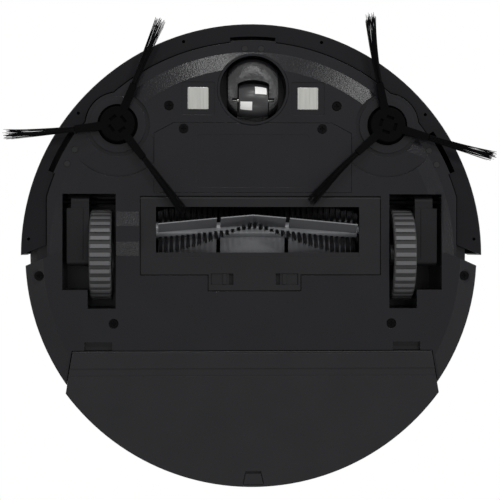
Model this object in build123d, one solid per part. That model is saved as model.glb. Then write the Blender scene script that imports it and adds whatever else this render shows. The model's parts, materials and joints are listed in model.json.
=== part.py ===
from build123d import *
import os
from math import acos, ceil, cos, degrees, hypot, pi, radians, sin, sqrt, tan

# Robot vacuum cleaner, in millimetres. It stands on its wheels at z = 0, +Z is up,
# its front faces -Y, and the origin lies under the middle of the disc.

# Overall sizes
bumper_radius = 175.0
body_inset = 3.0
deck_overhang = 1.0
deck_gap = 4.9
deck_edge_round = 3.0
base_under = 10.0
sheet = 2.5
wall = 2.5
thin_wall = 1.6
clearance = 0.3
running_clearance = 0.08
seam = 1.0

# Underside: flat, ramp and lip at the front, chamfer at the rear
lip_inset = 14.0
lip_width = 7.7
lip_thickness = 2.0
lip_side_inset = 6.0
lip_side_front_y = -44.0
ramp_width = 12.3
ramp_rise = 2.5
rear_chamfer_width = 14.0
rear_chamfer_rise = 10.0
floor_to_split = 12.0
step_outer_y = 8.5
step_width = 24.8
step_inner_y = -1.3

# Cliff sensors, as angles from the front
cliff_side_angle = 61.7
cliff_half_angle = 6.0
cliff_reach = 1.4
cliff_front_slot = 3.0
cliff_side_slot = 4.4
lens_radius = 2.3
lens_inset = 5.2
lens_half_angle = 2.25

# Bumper and its switches
bumper_wall = 2.5
bumper_travel = 5.0
bumper_rise = 5.0
bumper_back_gap = 3.0
bumper_edge_round = 1.8
bumper_hole_angles = (-86.0, -51.0, -18.0, 18.0, 51.0, 86.0)
bumper_hole_radius = 1.2
bumper_hole_inset = 5.5
flange_thickness = 2.0
bumper_end_gap = 9.4
window_half_angle = 32.0
window_rise = 22.0
window_height = 19.0
window_thickness = 1.2
switch_angle = 25.0
switch_size = (10.0, 3.8, 8.0)
switch_gap = 0.7

# Drive wheels and swing arms, left side (the right side is its mirror image)
wheel_inset = 60.0
wheel_radius = 35.0
tyre_width = 16.5
tyre_thickness = 6.5
tyre_edge = 1.2
tread_count = 34
tread_groove = 3.4
tread_depth = 1.3
hub_web = 4.0
hub_boss_radius = 7.5
hub_hole_count = 5
hub_hole_ring = 17.1
hub_hole_radius = 5.7
axle_radius = 3.0
well_inner_gap = 3.35
well_step_gap = 0.9
well_outer_gap = 3.1
well_front_gap = 0.6
well_rear_gap = 5.7
well_arm_rear_gap = 18.2
well_headroom = 1.0
arm_gap = 0.45
arm_width = 16.7
arm_front_setback = 5.0
arm_rear_y = 8.5
arm_drop = 21.0
arm_rise = 13.0
arm_heel_round = 5.0
arm_seam_inset = 4.0
arm_seam_width = 0.5
arm_seam_depth = 0.4
pivot_y = -40.0
pivot_drop = 15.0
knuckle_radius = 5.2
knuckle_inset = 3.2
pin_radius = 2.0
spring_wire = 0.5
spring_pitch = 1.2
spring_turns = 4
motor_can_radius = 6.0
gear_block_front_y = -10.0

# Caster
caster_inset = 50.0
cup_gap = 1.0
cup_wall = 1.7
cup_headroom = 5.3
fork_radius = 24.2
fork_half_width = 18.9
fork_under = 5.5
fork_top = 33.0
fork_dome = 14.0
caster_wheel_radius = 13.0
caster_end_radius = 11.2
caster_wheel_width = 22.0
caster_trail = 8.4
caster_slot_side = 0.9
caster_axle_radius = 1.2
caster_axle_length = 31.0
caster_patch_angle = 31.0
caster_patch_turns = (-123.0, -66.0)
patch_gap = 0.1
stem_radius = 4.0
stem_shoulder_radius = 6.4
stem_boss_radius = 8.0
stem_length = 8.0

# Side brushes
side_hub_inset = 33.4
side_hub_angle = 46.1
side_cap_radius = 13.2
side_cap_drop = 4.8
side_cap_height = 4.0
side_cap_round = 1.0
side_bore_wall = 3.6
cap_slot_count = 4
cap_slot_ring = 5.6
cap_slot_size = (2.3, 5.7, 1.8)
side_socket_gap = 2.0
side_collar_width = 6.0
side_collar_drop = 1.7
side_pod_margin = 2.8
side_dish_width = 15.6
side_dish_depth = 2.0
side_dish_turns = (17.0, -33.0)
side_motor_radius = 17.0
side_motor_height = 26.0
side_motor_round = 2.0
side_arm_count = 3
side_arm_length = 18.8
side_arm_size = (6.4, 3.2)
side_arm_end_size = (5.2, 2.6)
side_arm_drop = 1.3
tuft_length = 50.0
tuft_root_size = (4.0, 1.8)
tuft_middle_size = (6.2, 1.2)
tuft_tip_size = (9.0, 0.6)
tuft_tip_z = 0.8
tuft_sag = 0.3
left_arm_angle = 52.6
right_arm_angle = 17.7

# Main brush and its housing
brush_y = -18.9
brush_rise = 11.0
brush_radius = 19.4
core_radius = 5.8
brush_left_gap = 0.7
brush_right_gap = 1.0
strip_step = 13.0
strip_gap_x = 26.0
strip_gap = 3.0
blade_rows = 3
blade_root_angle = -139.9
blade_root_turn = 0.94
blade_root_width = 1.8
blade_tip_angle = -124.0
blade_tip_turn = 0.3
blade_tip_width = 0.9
bristle_rows = 3
bristle_angle = -106.0
bristle_turn = 1.28
bristle_width = 1.4
journal_radius = 3.0
brush_relief = 0.8
chamber_gap = 2.9
chamber_wall = 2.0
housing_flange = 2.0

# Brush cover and its latches
cover_gearbox_gap = 1.9
cover_right_gap = 7.1
cover_front_margin = 7.6
cover_rear_margin = 12.9
cover_tab_half_width = 34.75
cover_tab_depth = 12.0
cover_proud = 0.4
cover_gap = 0.7
cover_thickness = 2.6
window_left_margin = 11.4
window_right_margin = 15.8
window_front_reach = 17.1
window_rear_reach = 21.0
window_lip_width = 3.7
window_lip_recess = 0.4
hinge_pin_radius = 0.6
hinge_pin_length = 3.0
latch_mid_x = 1.15
latch_inner = 16.0
latch_side_margin = 1.75
latch_front_inset = 2.0
latch_depth = 11.0
latch_travel = 3.0
latch_ledge = 1.2
grip_inset = 2.0
grip_width = 2.5

# Brush drive
gear_module = 0.8
pressure_angle = 20.0
root_depth = 1.25
drive_teeth = 30
idler_teeth = 30
pinion_teeth = 14
gear_width = 5.0
gear_backlash = 0.12
gear_fold = 1.6
gear_line_angle = 25.0
gearbox_gap = 0.3
gearbox_width = 15.0
brush_motor_radius = 12.0
brush_motor_length = 36.0
brush_motor_round = 1.0
bump_wall = 2.0
bump_shift = 3.2
bump_half_width = 16.6
bump_flat_half_width = 6.0

# Suction duct and fan
duct_motor_gap = 2.5
duct_width = 60.0
duct_rise = 14.0
duct_height = 22.0
duct_mouth_reach = 8.75
fan_gap = 12.0
fan_bay_gap = 2.8
fan_radius = 28.0
fan_dome = 4.0
impeller_gap = 3.4
impeller_height = 12.0
impeller_blades = 9
impeller_blade_length = 16.5
impeller_blade_thickness = 1.2
impeller_blade_turn = 28.0
fan_motor_radius = 14.0
nozzle_half_width = 16.0
exhaust_gap = 3.7
exhaust_width = 18.0
vent_count = 7
vent_first_angle = 108.0
vent_step_angle = 2.4
vent_width = 2.4

# Battery and circuit board
battery_half_width = 69.0
battery_front_gap = 37.0
battery_rear_gap = 7.4
battery_height = 38.0
battery_edge_round = 4.0
battery_box_height = 30.4
battery_cover_side = 5.5
battery_cover_front = 11.5
battery_cover_rear = 4.0
battery_cover_chamfer = (15.0, 8.0)
label_recess_size = (86.0, 40.0)
label_recess_corner = 3.0
label_recess_depth = 0.3
board_half_width = 58.0
board_front_reach = 49.0
board_rear_reach = 10.0
board_drop = 10.0
board_thickness = 1.6
chip_height = 1.0
chips = ((-25.0, -33.0, 14.0), (10.0, -30.0, 18.0), (35.0, -13.0, 9.0), (-38.0, -10.0, 10.0))
key_switch_radius = 2.2

# Contacts and screws
contact_x = 41.5
contact_setback = 7.0
contact_size = (15.5, 16.6)
contact_corner = 1.0
contact_edge_round = 0.25
contact_tail_margin = 3.75
contact_frame = (25.5, 25.0)
contact_frame_corner = 1.5
contact_recess = 0.8
contact_proud = 0.3
screw_head_radius = 3.2
screw_head_height = 1.6
screw_shank_radius = 1.4
screw_length = 9.0
screw_bore_radius = 3.75
screw_depth = 3.0
screw_cross_size = (3.6, 0.9, 1.0)
front_screw_place = (22.0, 5.7)
side_screw_inset = 11.0
side_screw_y = 16.0
side_screw_rise = 1.5
rear_screw_place = (105.0, -20.4)
cover_screw_x = 52.4
cover_screw_margin = 4.5
cover_screw_drop = 1.4

# Rear bay, dust bin and mop plate
bay_front_y = 72.4
bay_side_inset = 35.7
bay_slope = 0.17
bay_drop = 22.0
bin_floor_gap = 0.5
bin_top_gap = 1.0
lid_thickness = 2.0
tank_partition_x = 80.0
filter_depth = 8.0
filter_pleats = 9
plate_thickness = 3.7
plate_front_gap = 1.2
plate_front_edge = 0.8
plate_side_gap = 0.8
plate_groove_setback = 11.9
plate_groove_width = 6.0
plate_groove_depth = 0.8
catch_half_width = 7.5
catch_front_half_width = 5.6
catch_length = 8.0
catch_inset = 2.0
catch_thickness = 1.7
catch_travel = 1.5
bin_button_size = (28.0, 7.0, 9.0)
bin_button_rise = 25.5
bin_button_travel = 3.0
bin_button_proud = 0.8
notch_inner_x = 106.0
notch_outer_x = 127.0
notch_reach = 6.4
notch_depth = 5.0

# Top: panel, buttons and lidar
panel_margin = 23.0
panel_thickness = 1.2
button_x = 14.0
button_y = -62.0
button_radius = 9.0
button_rim = 1.5
button_travel = 0.8
button_proud = 0.6
button_edge_round = 0.5
lidar_y = 22.0
lidar_gap = 5.5
lidar_sink = 14.0
lidar_rim = 3.0
rotor_radius = 33.0
rotor_rise = 8.0
rotor_edge_round = 2.0
eye_radius = 3.0
eye_x = 11.0
eye_depth = 5.0
tower_inset = 2.0
tower_gap = 1.0
tower_roof = 3.0
tower_edge_round = 2.0
tower_posts = 4
tower_post_radius = 1.6

# Places worked out from the sizes above: heights of the body
wheel_z = wheel_radius
well_top = 2 * wheel_radius + well_headroom
deck_top = well_top + thin_wall + deck_gap + sheet
deck_skin_under = deck_top - sheet
deck_under = deck_skin_under - wall - seam
base_top = base_under + sheet
lip_under = base_under + ramp_rise
lip_top = lip_under + lip_thickness
split_z = base_under + floor_to_split
bumper_under = base_under + bumper_rise
bumper_top = deck_under - 2 * clearance
window_z = bumper_under + window_rise

# Radii of the body
body_radius = bumper_radius - body_inset
deck_radius = body_radius + deck_overhang
lip_radius = bumper_radius - lip_inset
ramp_end_radius = lip_radius - lip_width
ramp_start_radius = ramp_end_radius - ramp_width
rear_flat_radius = body_radius - rear_chamfer_width
lip_side_x = lip_radius - lip_side_inset
lens_ring_radius = lip_radius - lens_inset
front_wall_radius = lip_radius + seam - bumper_travel - bumper_back_gap
cover_front_radius = bumper_radius - bumper_wall - bumper_travel - switch_size[1] - switch_gap
step_inner_x = body_radius - step_width

# Wheel module
wheel_x = bumper_radius - wheel_inset
tyre_half = tyre_width / 2
arm_inner_x = wheel_x + tyre_half + arm_gap
arm_outer_x = arm_inner_x + arm_width
arm_front_y = pivot_y + arm_front_setback
arm_under = wheel_z - arm_drop
arm_top = wheel_z + arm_rise
pivot_z = wheel_z - pivot_drop
well_inner_x = wheel_x - tyre_half - well_inner_gap
well_step_x = arm_inner_x + well_step_gap
well_outer_x = arm_outer_x + well_outer_gap
well_front_y = pivot_y - knuckle_radius - well_front_gap
well_rear_inner_y = wheel_radius + well_rear_gap
well_rear_outer_y = arm_rear_y + well_arm_rear_gap

# Caster and side brushes
caster_y = caster_inset - bumper_radius
caster_axle_y = caster_y + caster_trail
caster_axle_z = caster_wheel_radius
cup_radius = fork_radius + cup_gap
cup_outer_radius = cup_radius + cup_wall
cup_top = fork_top + cup_headroom + cup_wall
side_ring_radius = bumper_radius - side_hub_inset
side_x = side_ring_radius * sin(radians(side_hub_angle))
side_y = -side_ring_radius * cos(radians(side_hub_angle))
side_hubs = ((-side_x, side_y), (side_x, side_y))
side_cap_under = base_under - side_cap_drop
side_cap_top = side_cap_under + side_cap_height
side_socket_radius = side_cap_radius + side_socket_gap
side_collar_radius = side_socket_radius + side_collar_width
side_pod_radius = side_collar_radius + side_pod_margin
side_dish_radius = side_pod_radius + side_dish_width
side_arm_radius = side_cap_radius + side_arm_length
side_tip_radius = side_arm_radius + tuft_length
pod_wall_radius = side_motor_radius + clearance + thin_wall

# Main brush, its drive and its cover
brush_z = base_under + brush_rise
chamber_radius = brush_radius + chamber_gap
housing_top_of_flange = base_top + housing_flange
gearbox_left_x = thin_wall + gearbox_gap - well_inner_x
gearbox_right_x = gearbox_left_x + gearbox_width
cover_left_x = gearbox_right_x + cover_gearbox_gap
cover_right_x = well_inner_x - cover_right_gap
window_left_x = cover_left_x + window_left_margin
window_right_x = cover_right_x - window_right_margin
brush_left_x = window_left_x + brush_left_gap
brush_right_x = window_right_x - brush_right_gap
window_front_y = brush_y - window_front_reach
window_rear_y = brush_y + window_rear_reach
cover_front_y = window_front_y - cover_front_margin
cover_rear_y = window_rear_y + cover_rear_margin
cover_tab_y = cover_rear_y + cover_tab_depth
cover_under = base_under - cover_proud
cover_top = cover_under + cover_thickness
hinge_radius = cover_thickness / 2
hinge_y = cover_front_y + hinge_radius
hinge_z = cover_under + hinge_radius
latch_outer = cover_tab_half_width - latch_side_margin
latch_front_y = cover_rear_y - latch_front_inset
latch_rear_y = latch_front_y + latch_depth
latch_shelf_z = cover_under + cover_thickness / 3

# Duct, fan, battery, contacts and board
duct_left_x = gearbox_right_x + brush_motor_length + duct_motor_gap
duct_right_x = duct_left_x + duct_width
duct_under = base_under + duct_rise
duct_top = duct_under + duct_height
fan_x = duct_right_x + fan_gap + fan_radius
fan_y = bay_front_y - thin_wall - fan_radius - fan_bay_gap
fan_top = duct_top + fan_dome
impeller_radius = fan_radius - thin_wall - impeller_gap
exhaust_front_y = well_rear_inner_y + thin_wall + exhaust_gap
exhaust_rear_y = exhaust_front_y + exhaust_width
battery_front_y = caster_y + battery_front_gap
battery_rear_y = cover_front_y - battery_rear_gap
battery_cover_half_width = battery_half_width + battery_cover_side
battery_cover_front_y = battery_front_y - battery_cover_front
battery_cover_rear_y = battery_rear_y + battery_cover_rear
contact_y = caster_y + contact_setback
board_front_y = button_y - board_front_reach
board_rear_y = button_y + board_rear_reach
board_z = deck_top - board_drop

# Screws as X, Y and underside
screw_places = (
    (contact_x + front_screw_place[0], contact_y + front_screw_place[1], base_under),
    (body_radius - side_screw_inset, side_screw_y, base_under + side_screw_rise),
    (rear_screw_place[0], bay_front_y + rear_screw_place[1], base_under),
    (cover_screw_x, battery_cover_front_y + cover_screw_margin, base_under - cover_screw_drop),
)

# Rear bay and top
bay_half_width = body_radius - bay_side_inset
bay_top = deck_top - bay_drop
bin_under = base_under + bin_floor_gap
bin_top = bay_top - bin_top_gap
bin_button_z = bin_under + bin_button_rise
plate_top = bin_under - clearance
plate_under = plate_top - plate_thickness
plate_front_y = bay_front_y + plate_front_gap
plate_half_width = bay_half_width - plate_side_gap
plate_groove_y = plate_front_y + plate_groove_setback
catch_rear_y = bumper_radius - catch_inset
catch_front_y = catch_rear_y - catch_length
notch_front_y = bay_front_y - notch_reach
panel_radius = deck_radius - panel_margin
lidar_radius = rotor_radius + lidar_gap + wall
lidar_under = deck_top - lidar_sink
lidar_rim_top = deck_top + lidar_rim
rotor_top = lidar_rim_top + rotor_rise
tower_radius = lidar_radius - tower_inset
tower_top = rotor_top + tower_gap + tower_roof


def block(x, y, z):
    """A box between two places along each axis."""
    middle = ((x[0] + x[1]) / 2, (y[0] + y[1]) / 2, (z[0] + z[1]) / 2)
    return Pos(*middle) * Box(x[1] - x[0], y[1] - y[0], z[1] - z[0])


def post(radius, z, at=(0, 0)):
    """An upright cylinder."""
    return Pos(at[0], at[1], (z[0] + z[1]) / 2) * Cylinder(radius, z[1] - z[0])


def bar(radius, x, y, z):
    """A cylinder along X."""
    return Pos((x[0] + x[1]) / 2, y, z) * Rot(0, 90, 0) * Cylinder(radius, x[1] - x[0])


def disc(radius, at=(0, 0)):
    """A flat round face."""
    return Pos(at[0], at[1]) * Circle(radius)


def outline(*points):
    """A flat face inside straight edges."""
    return make_face(Polyline(*points, close=True))


def plate(face, z):
    """A flat face made into a plate."""
    return Pos(0, 0, z[0]) * extrude(face, amount=z[1] - z[0])


def turned(*points):
    """A solid turned about Z from points of radius and height."""
    return revolve(Plane.XZ * outline(*points), Axis.Z)


def along_x(face, x):
    """A face drawn as Y and Z, made into a solid along X."""
    return Pos(x[0], 0, 0) * extrude(Plane.YZ * face, amount=x[1] - x[0])


def polar(radius, angle):
    """A place at an angle from the front, positive towards +X."""
    return (radius * sin(radians(angle)), -radius * cos(radians(angle)))


def wedge(half_angle, middle_angle, reach):
    """A flat sector about the origin, its middle at an angle from the front."""
    ends = [polar(reach, middle_angle + side * half_angle) for side in (-1, 1)]
    return outline((0, 0), *ends)


def both_sides(shape):
    """A shape on the left with its mirror image on the right."""
    return shape + mirror(shape, about=Plane.YZ)


def save(name, shape):
    """Write one piece."""
    export_step(shape, f"parts/{name}.step")


def rear_zone():
    """Plan of everything behind the slanted step where the bumper ends."""
    slope = (step_outer_y - step_inner_y) / (body_radius - step_inner_x)
    far = 2 * bumper_radius
    far_y = step_inner_y + slope * (far - step_inner_x)
    corners = ((far, far_y), (far, far), (-far, far), (-far, far_y))
    return outline((-step_inner_x, step_inner_y), (step_inner_x, step_inner_y), *corners)


def front_zone():
    """Plan of everything in front of that step."""
    return Rectangle(4 * bumper_radius, 4 * bumper_radius) - rear_zone()


def bay_plan(grow):
    """Plan of the rear bay, open to the rear, made larger by a wall or smaller by a gap."""
    far = 2 * bumper_radius
    front_y = bay_front_y - grow
    near = bay_half_width + grow
    wide = near + bay_slope * (far - front_y)
    return outline((-near, front_y), (near, front_y), (wide, far), (-wide, far))


def battery_cover_plan(grow):
    """Plan of the battery cover with its two cut corners."""
    half = battery_cover_half_width + grow
    front, rear = battery_cover_front_y - grow, battery_cover_rear_y + grow
    cut_x, cut_y = battery_cover_chamfer
    left = ((-half, rear), (-half, front + cut_y), (-half + cut_x, front))
    right = ((half - cut_x, front), (half, front + cut_y), (half, rear))
    return outline(*left, *right)


def brush_cover_plan(grow):
    """Plan of the brush cover with its rear tab."""
    left, right = cover_left_x - grow, cover_right_x + grow
    front, rear, tab = cover_front_y - grow, cover_rear_y + grow, cover_tab_y + grow
    half = cover_tab_half_width + grow
    tab_left, tab_right = latch_mid_x - half, latch_mid_x + half
    return outline(
        (left, front), (right, front), (right, rear), (tab_right, rear),
        (tab_right, tab), (tab_left, tab), (tab_left, rear), (left, rear),
    )


def well_plan(grow):
    """Plan of the left wheel well: a wide part for the arm and a long part for the wheel."""
    front = well_front_y - grow
    step = -well_step_x
    outer, inner = -well_outer_x - grow, -well_inner_x + grow
    return outline(
        (outer, front), (inner, front), (inner, well_rear_inner_y + grow),
        (step - grow, well_rear_inner_y + grow), (step - grow, well_rear_outer_y + grow),
        (outer, well_rear_outer_y + grow),
    )


def lip_plan(grow):
    """Plan of the front lip with its sensor and side brush pods, grown by a gap."""
    lip = disc(lip_radius + grow)
    side = lip_side_x + grow
    reach = 2 * bumper_radius
    for turn in (-1, 1):
        strip = Pos(turn * (side + reach / 2), lip_side_front_y + reach / 2)
        lip -= strip * Rectangle(reach, reach)
    side_slot, front_slot = (cliff_side_slot, cliff_front_slot) if grow else (0, 0)
    for angle, slot in ((-cliff_side_angle, side_slot), (0, front_slot), (cliff_side_angle, side_slot)):
        lip += disc(lip_radius + cliff_reach + slot) & wedge(cliff_half_angle, angle, reach)
    for hub in side_hubs:
        lip += disc(side_pod_radius + grow, hub)
    return lip


def gear_train():
    """Centres of drive gear, idler and pinion, as Y and Z."""
    to_idler = gear_module * (drive_teeth + idler_teeth) / 2
    to_pinion = gear_module * (idler_teeth + pinion_teeth) / 2
    span = to_idler + to_pinion - gear_fold
    along = (to_idler ** 2 - to_pinion ** 2 + span ** 2) / (2 * span)
    up = sqrt(to_idler ** 2 - along ** 2)
    turn = radians(gear_line_angle)
    drive = (brush_y, brush_z)
    idler = (
        brush_y + along * cos(turn) - up * sin(turn),
        brush_z + along * sin(turn) + up * cos(turn),
    )
    pinion = (brush_y + span * cos(turn), brush_z + span * sin(turn))
    return drive, idler, pinion


def tip_radius(teeth):
    """Outer radius of a gear."""
    return gear_module * (teeth / 2 + 1)


def involute_gear(teeth, first_tooth):
    """Flat gear face with a tooth at the given angle in radians."""
    pitch = gear_module * teeth / 2
    base = pitch * cos(radians(pressure_angle))
    root = pitch - root_depth * gear_module
    tip = tip_radius(teeth)

    def roll(radius):
        return sqrt(max(0, (radius / base) ** 2 - 1)) - acos(min(1, base / radius))

    half_tooth = pi / (2 * teeth) - gear_backlash / (2 * pitch)
    start = max(base, root)
    steps = [start + (tip - start) * n / 4 for n in range(5)]
    flank = [(r, half_tooth + roll(pitch) - roll(r)) for r in steps]
    if root < base:
        flank = [(root, flank[0][1])] + flank
    points = []
    for tooth in range(teeth):
        middle = first_tooth + 2 * pi * tooth / teeth
        points += [(r * cos(middle - a), r * sin(middle - a)) for r, a in flank]
        points += [(r * cos(middle + a), r * sin(middle + a)) for r, a in flank[::-1]]
    return outline(*points)


def meshed(teeth, first_tooth, centre, next_teeth, next_centre):
    """First tooth angle of the next gear, so that its teeth stand in this gear's gaps."""
    way = Vector(next_centre[0] - centre[0], next_centre[1] - centre[1])
    line = radians(Vector(1, 0, 0).get_signed_angle(way, Vector(0, 0, 1)))
    step, next_step = 2 * pi / teeth, 2 * pi / next_teeth
    phase = (line - first_tooth) / step
    return line + pi + phase * next_step + next_step / 2


def base_floor():
    """Floor and rim of the chassis, before anything is cut into it."""
    slope = rear_chamfer_rise / (body_radius - rear_flat_radius)
    rise = wall * hypot(1, slope)
    chamfer_top = base_under + rear_chamfer_rise
    inner = body_radius - wall
    outer_line = (
        (0, base_under), (rear_flat_radius, base_under),
        (body_radius, chamfer_top), (body_radius, split_z),
    )
    inner_end = base_under + rise + slope * (inner - rear_flat_radius)
    inner_start = rear_flat_radius - (rise - sheet) / slope
    rear = turned(
        *outer_line, (inner, split_z), (inner, inner_end), (inner_start, base_top), (0, base_top)
    )
    front = turned(
        (0, base_under), (ramp_start_radius, base_under), (ramp_end_radius, lip_under),
        (lip_radius - cliff_reach, lip_under), (lip_radius - cliff_reach, lip_top),
        (ramp_end_radius, lip_top), (ramp_start_radius, base_top), (0, base_top),
    )
    lip = plate(lip_plan(0) - disc(ramp_end_radius), (lip_under, lip_top))
    inside = disc(front_wall_radius - thin_wall)
    rounds = disc(front_wall_radius)
    for hub in side_hubs:
        rounds += disc(pod_wall_radius, hub)
        inside += disc(pod_wall_radius - thin_wall, hub)
    shelf_under = split_z - lip_thickness
    upright = plate((rounds - inside) & front_zone(), (lip_under, shelf_under + seam))
    shelf = plate((disc(cover_front_radius) - inside) & front_zone(), (shelf_under, split_z))
    zone_height = (0, deck_top)
    step = plate(rear_zone() - Pos(0, wall) * rear_zone(), zone_height)
    step_body = turned(*outer_line, (0, split_z)) - post(front_wall_radius - wall, zone_height)
    side_trim = plate(lip_plan(0) + disc(ramp_end_radius), zone_height)
    front_half = (front & plate(front_zone(), zone_height)) & side_trim
    floor = front_half + (rear & plate(rear_zone(), zone_height)) + (step & step_body)
    return floor + (lip & plate(front_zone(), zone_height)) + upright + shelf


def side_brush_seat(floor):
    """Cut the side brush moats and dishes into the floor, and add their pods and collars."""
    deep = (0, lip_under)
    sweep = Rectangle(4 * side_dish_radius, 2 * side_dish_radius)
    for turn, hub in zip((-1, 1), side_hubs):
        moat_radius = side_pod_radius + clearance
        dish = disc(side_dish_radius, hub) - disc(moat_radius, hub)
        for dish_turn in side_dish_turns:
            half_plane = Pos(hub[0], hub[1] + side_dish_radius) * Rot(0, 0, turn * dish_turn) * sweep
            dish = dish & half_plane
        dish_top = base_under + side_dish_depth
        floor += plate(dish & disc(front_wall_radius - wall), (base_top, dish_top + sheet))
        slope = turned(
            (0, 0), (side_dish_radius, 0), (side_dish_radius, dish_top),
            (moat_radius, base_under), (0, base_under),
        )
        floor -= plate(dish, (0, dish_top)) & (Pos(*hub) * slope)
        floor -= post(moat_radius, deep, hub)
        seat = disc(side_pod_radius, hub)
        seat += disc(moat_radius + wall, hub) & disc(ramp_end_radius)
        floor += plate(seat, (lip_under, lip_top))
        floor += post(side_collar_radius, (lip_under - side_collar_drop, lip_top), hub)
        floor -= post(side_socket_radius, (0, lip_top), hub)
        floor -= post(side_motor_radius + clearance, (lip_top, split_z), hub)
    return floor


def wheel_wells(floor):
    """Open the two wheel wells and box them in."""
    walls = plate(well_plan(thin_wall), (base_under + seam, well_top + thin_wall))
    hollow = plate(well_plan(0), (0, well_top))
    pin_x = (-well_outer_x - wall, -well_inner_x + wall)
    pin = bar(pin_radius + running_clearance, pin_x, pivot_y, pivot_z)
    floor += both_sides(walls)
    return floor - both_sides(hollow) - both_sides(pin)


def battery_bay(floor):
    """Open the battery bay, with a ledge over its cover and a wall around the pack."""
    half, front, rear = battery_half_width, battery_front_y, battery_rear_y
    gap = 2 * clearance
    inner = block((-half - gap, half + gap), (front - gap, rear + gap), (0, deck_top))
    grow = gap + thin_wall
    box_top = base_top + battery_box_height
    box = block((-half - grow, half + grow), (front - grow, rear + grow), (base_top, box_top))
    ledge = plate(battery_cover_plan(thin_wall), (base_top, lip_top))
    floor -= plate(battery_cover_plan(clearance), (0, base_top))
    return floor + ledge + box - inner


def brush_opening(floor):
    """Open the brush window and shape the bump under the drive gear."""
    hollow = tip_radius(drive_teeth) + 2 * clearance
    low = brush_z - hollow - bump_wall
    middle = brush_y + bump_shift
    front, rear = middle - bump_half_width, middle + bump_half_width
    flat = (middle - bump_flat_half_width, middle + bump_flat_half_width)
    bump_x = (gearbox_left_x - thin_wall, gearbox_right_x + 2 * clearance)
    floor += along_x(outline(
        (front, base_top), (front, base_under), (flat[0], low),
        (flat[1], low), (rear, base_under), (rear, base_top),
    ), bump_x)
    gear_x = (gearbox_left_x + thin_wall, gearbox_right_x - thin_wall)
    floor -= bar(hollow, gear_x, brush_y, brush_z)
    floor -= plate(brush_cover_plan(cover_gap), (0, base_top))
    reach = hinge_pin_length + clearance
    pins_x = (cover_left_x - reach, cover_right_x + reach)
    return floor - bar(hinge_pin_radius + running_clearance, pins_x, hinge_y, hinge_z)


def rear_bay(floor):
    """Cut the rear bay for bin and mop plate, with its walls and its two air openings."""
    walls = plate(bay_plan(thin_wall) - bay_plan(0), (base_under, bay_top))
    walls = walls & post(body_radius - wall, (0, deck_top))
    floor -= plate(bay_plan(0), (0, deck_top))
    floor += walls
    through = (bay_front_y - wall, bay_front_y + wall)
    duct_x = (duct_left_x + thin_wall, duct_right_x - thin_wall)
    floor -= block(duct_x, through, (duct_under + thin_wall, duct_top - thin_wall))
    nozzle_x = (fan_x - nozzle_half_width + thin_wall, fan_x + nozzle_half_width - thin_wall)
    floor -= block(nozzle_x, through, (duct_under + thin_wall, duct_top - thin_wall))
    notch_x = (-notch_outer_x, -notch_inner_x)
    notch_top = base_under + notch_depth
    notch = block(notch_x, (notch_front_y, bay_front_y + wall), (0, notch_top))
    case_x = (notch_x[0] - thin_wall, notch_x[1] + thin_wall)
    case = block(case_x, (notch_front_y - thin_wall, bay_front_y), (base_under, notch_top + thin_wall))
    return floor + both_sides(case) - both_sides(notch)


def small_openings(floor):
    """Cut the caster hole, contact frames, sensor holes and screw holes."""
    contact = Pos(-contact_x, contact_y)
    frame = contact * RectangleRounded(*contact_frame, contact_frame_corner)
    frame = plate(frame, (0, base_under + contact_recess))
    hole_size = [side + 2 * clearance for side in contact_size]
    hole = plate(contact * RectangleRounded(*hole_size, contact_corner), (0, lip_top))
    for x, y, under in screw_places:
        tower_z = (base_top, under + screw_depth + screw_length)
        floor += both_sides(post(screw_bore_radius + thin_wall, tower_z, (-x, y)))
    floor -= both_sides(frame + hole)
    for x, y, under in screw_places:
        head = post(screw_bore_radius, (0, under + screw_depth), (-x, y))
        shank_top = under + screw_depth + screw_length
        shank = post(screw_shank_radius + running_clearance, (under, shank_top), (-x, y))
        floor -= both_sides(head + shank)
    floor -= post(cup_outer_radius + clearance, (0, deck_top), (0, caster_y))
    for place in lens_places():
        floor -= post(lens_radius + clearance / 2, (0, lip_top), place)
    return floor


def lens_places():
    """Centres of the six cliff sensor lenses."""
    places = []
    for angle in (-cliff_side_angle, 0, cliff_side_angle):
        for side in (-lens_half_angle, lens_half_angle):
            places.append(polar(lens_ring_radius, angle + side))
    return places


def base_plate():
    """The chassis: floor, rim, wells, bays and openings in one moulding."""
    floor = base_floor()
    floor = side_brush_seat(floor)
    floor = wheel_wells(floor)
    floor = battery_bay(floor)
    floor = brush_opening(floor)
    floor = rear_bay(floor)
    return small_openings(floor)


def deck_holes(top):
    """Holes through the deck and its panel for the lidar and the two buttons."""
    holes = post(lidar_radius + clearance, (0, 2 * deck_top), (0, lidar_y))
    button = post(button_radius + clearance, (0, 2 * deck_top), (-button_x, button_y))
    return top - holes - both_sides(button)


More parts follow.
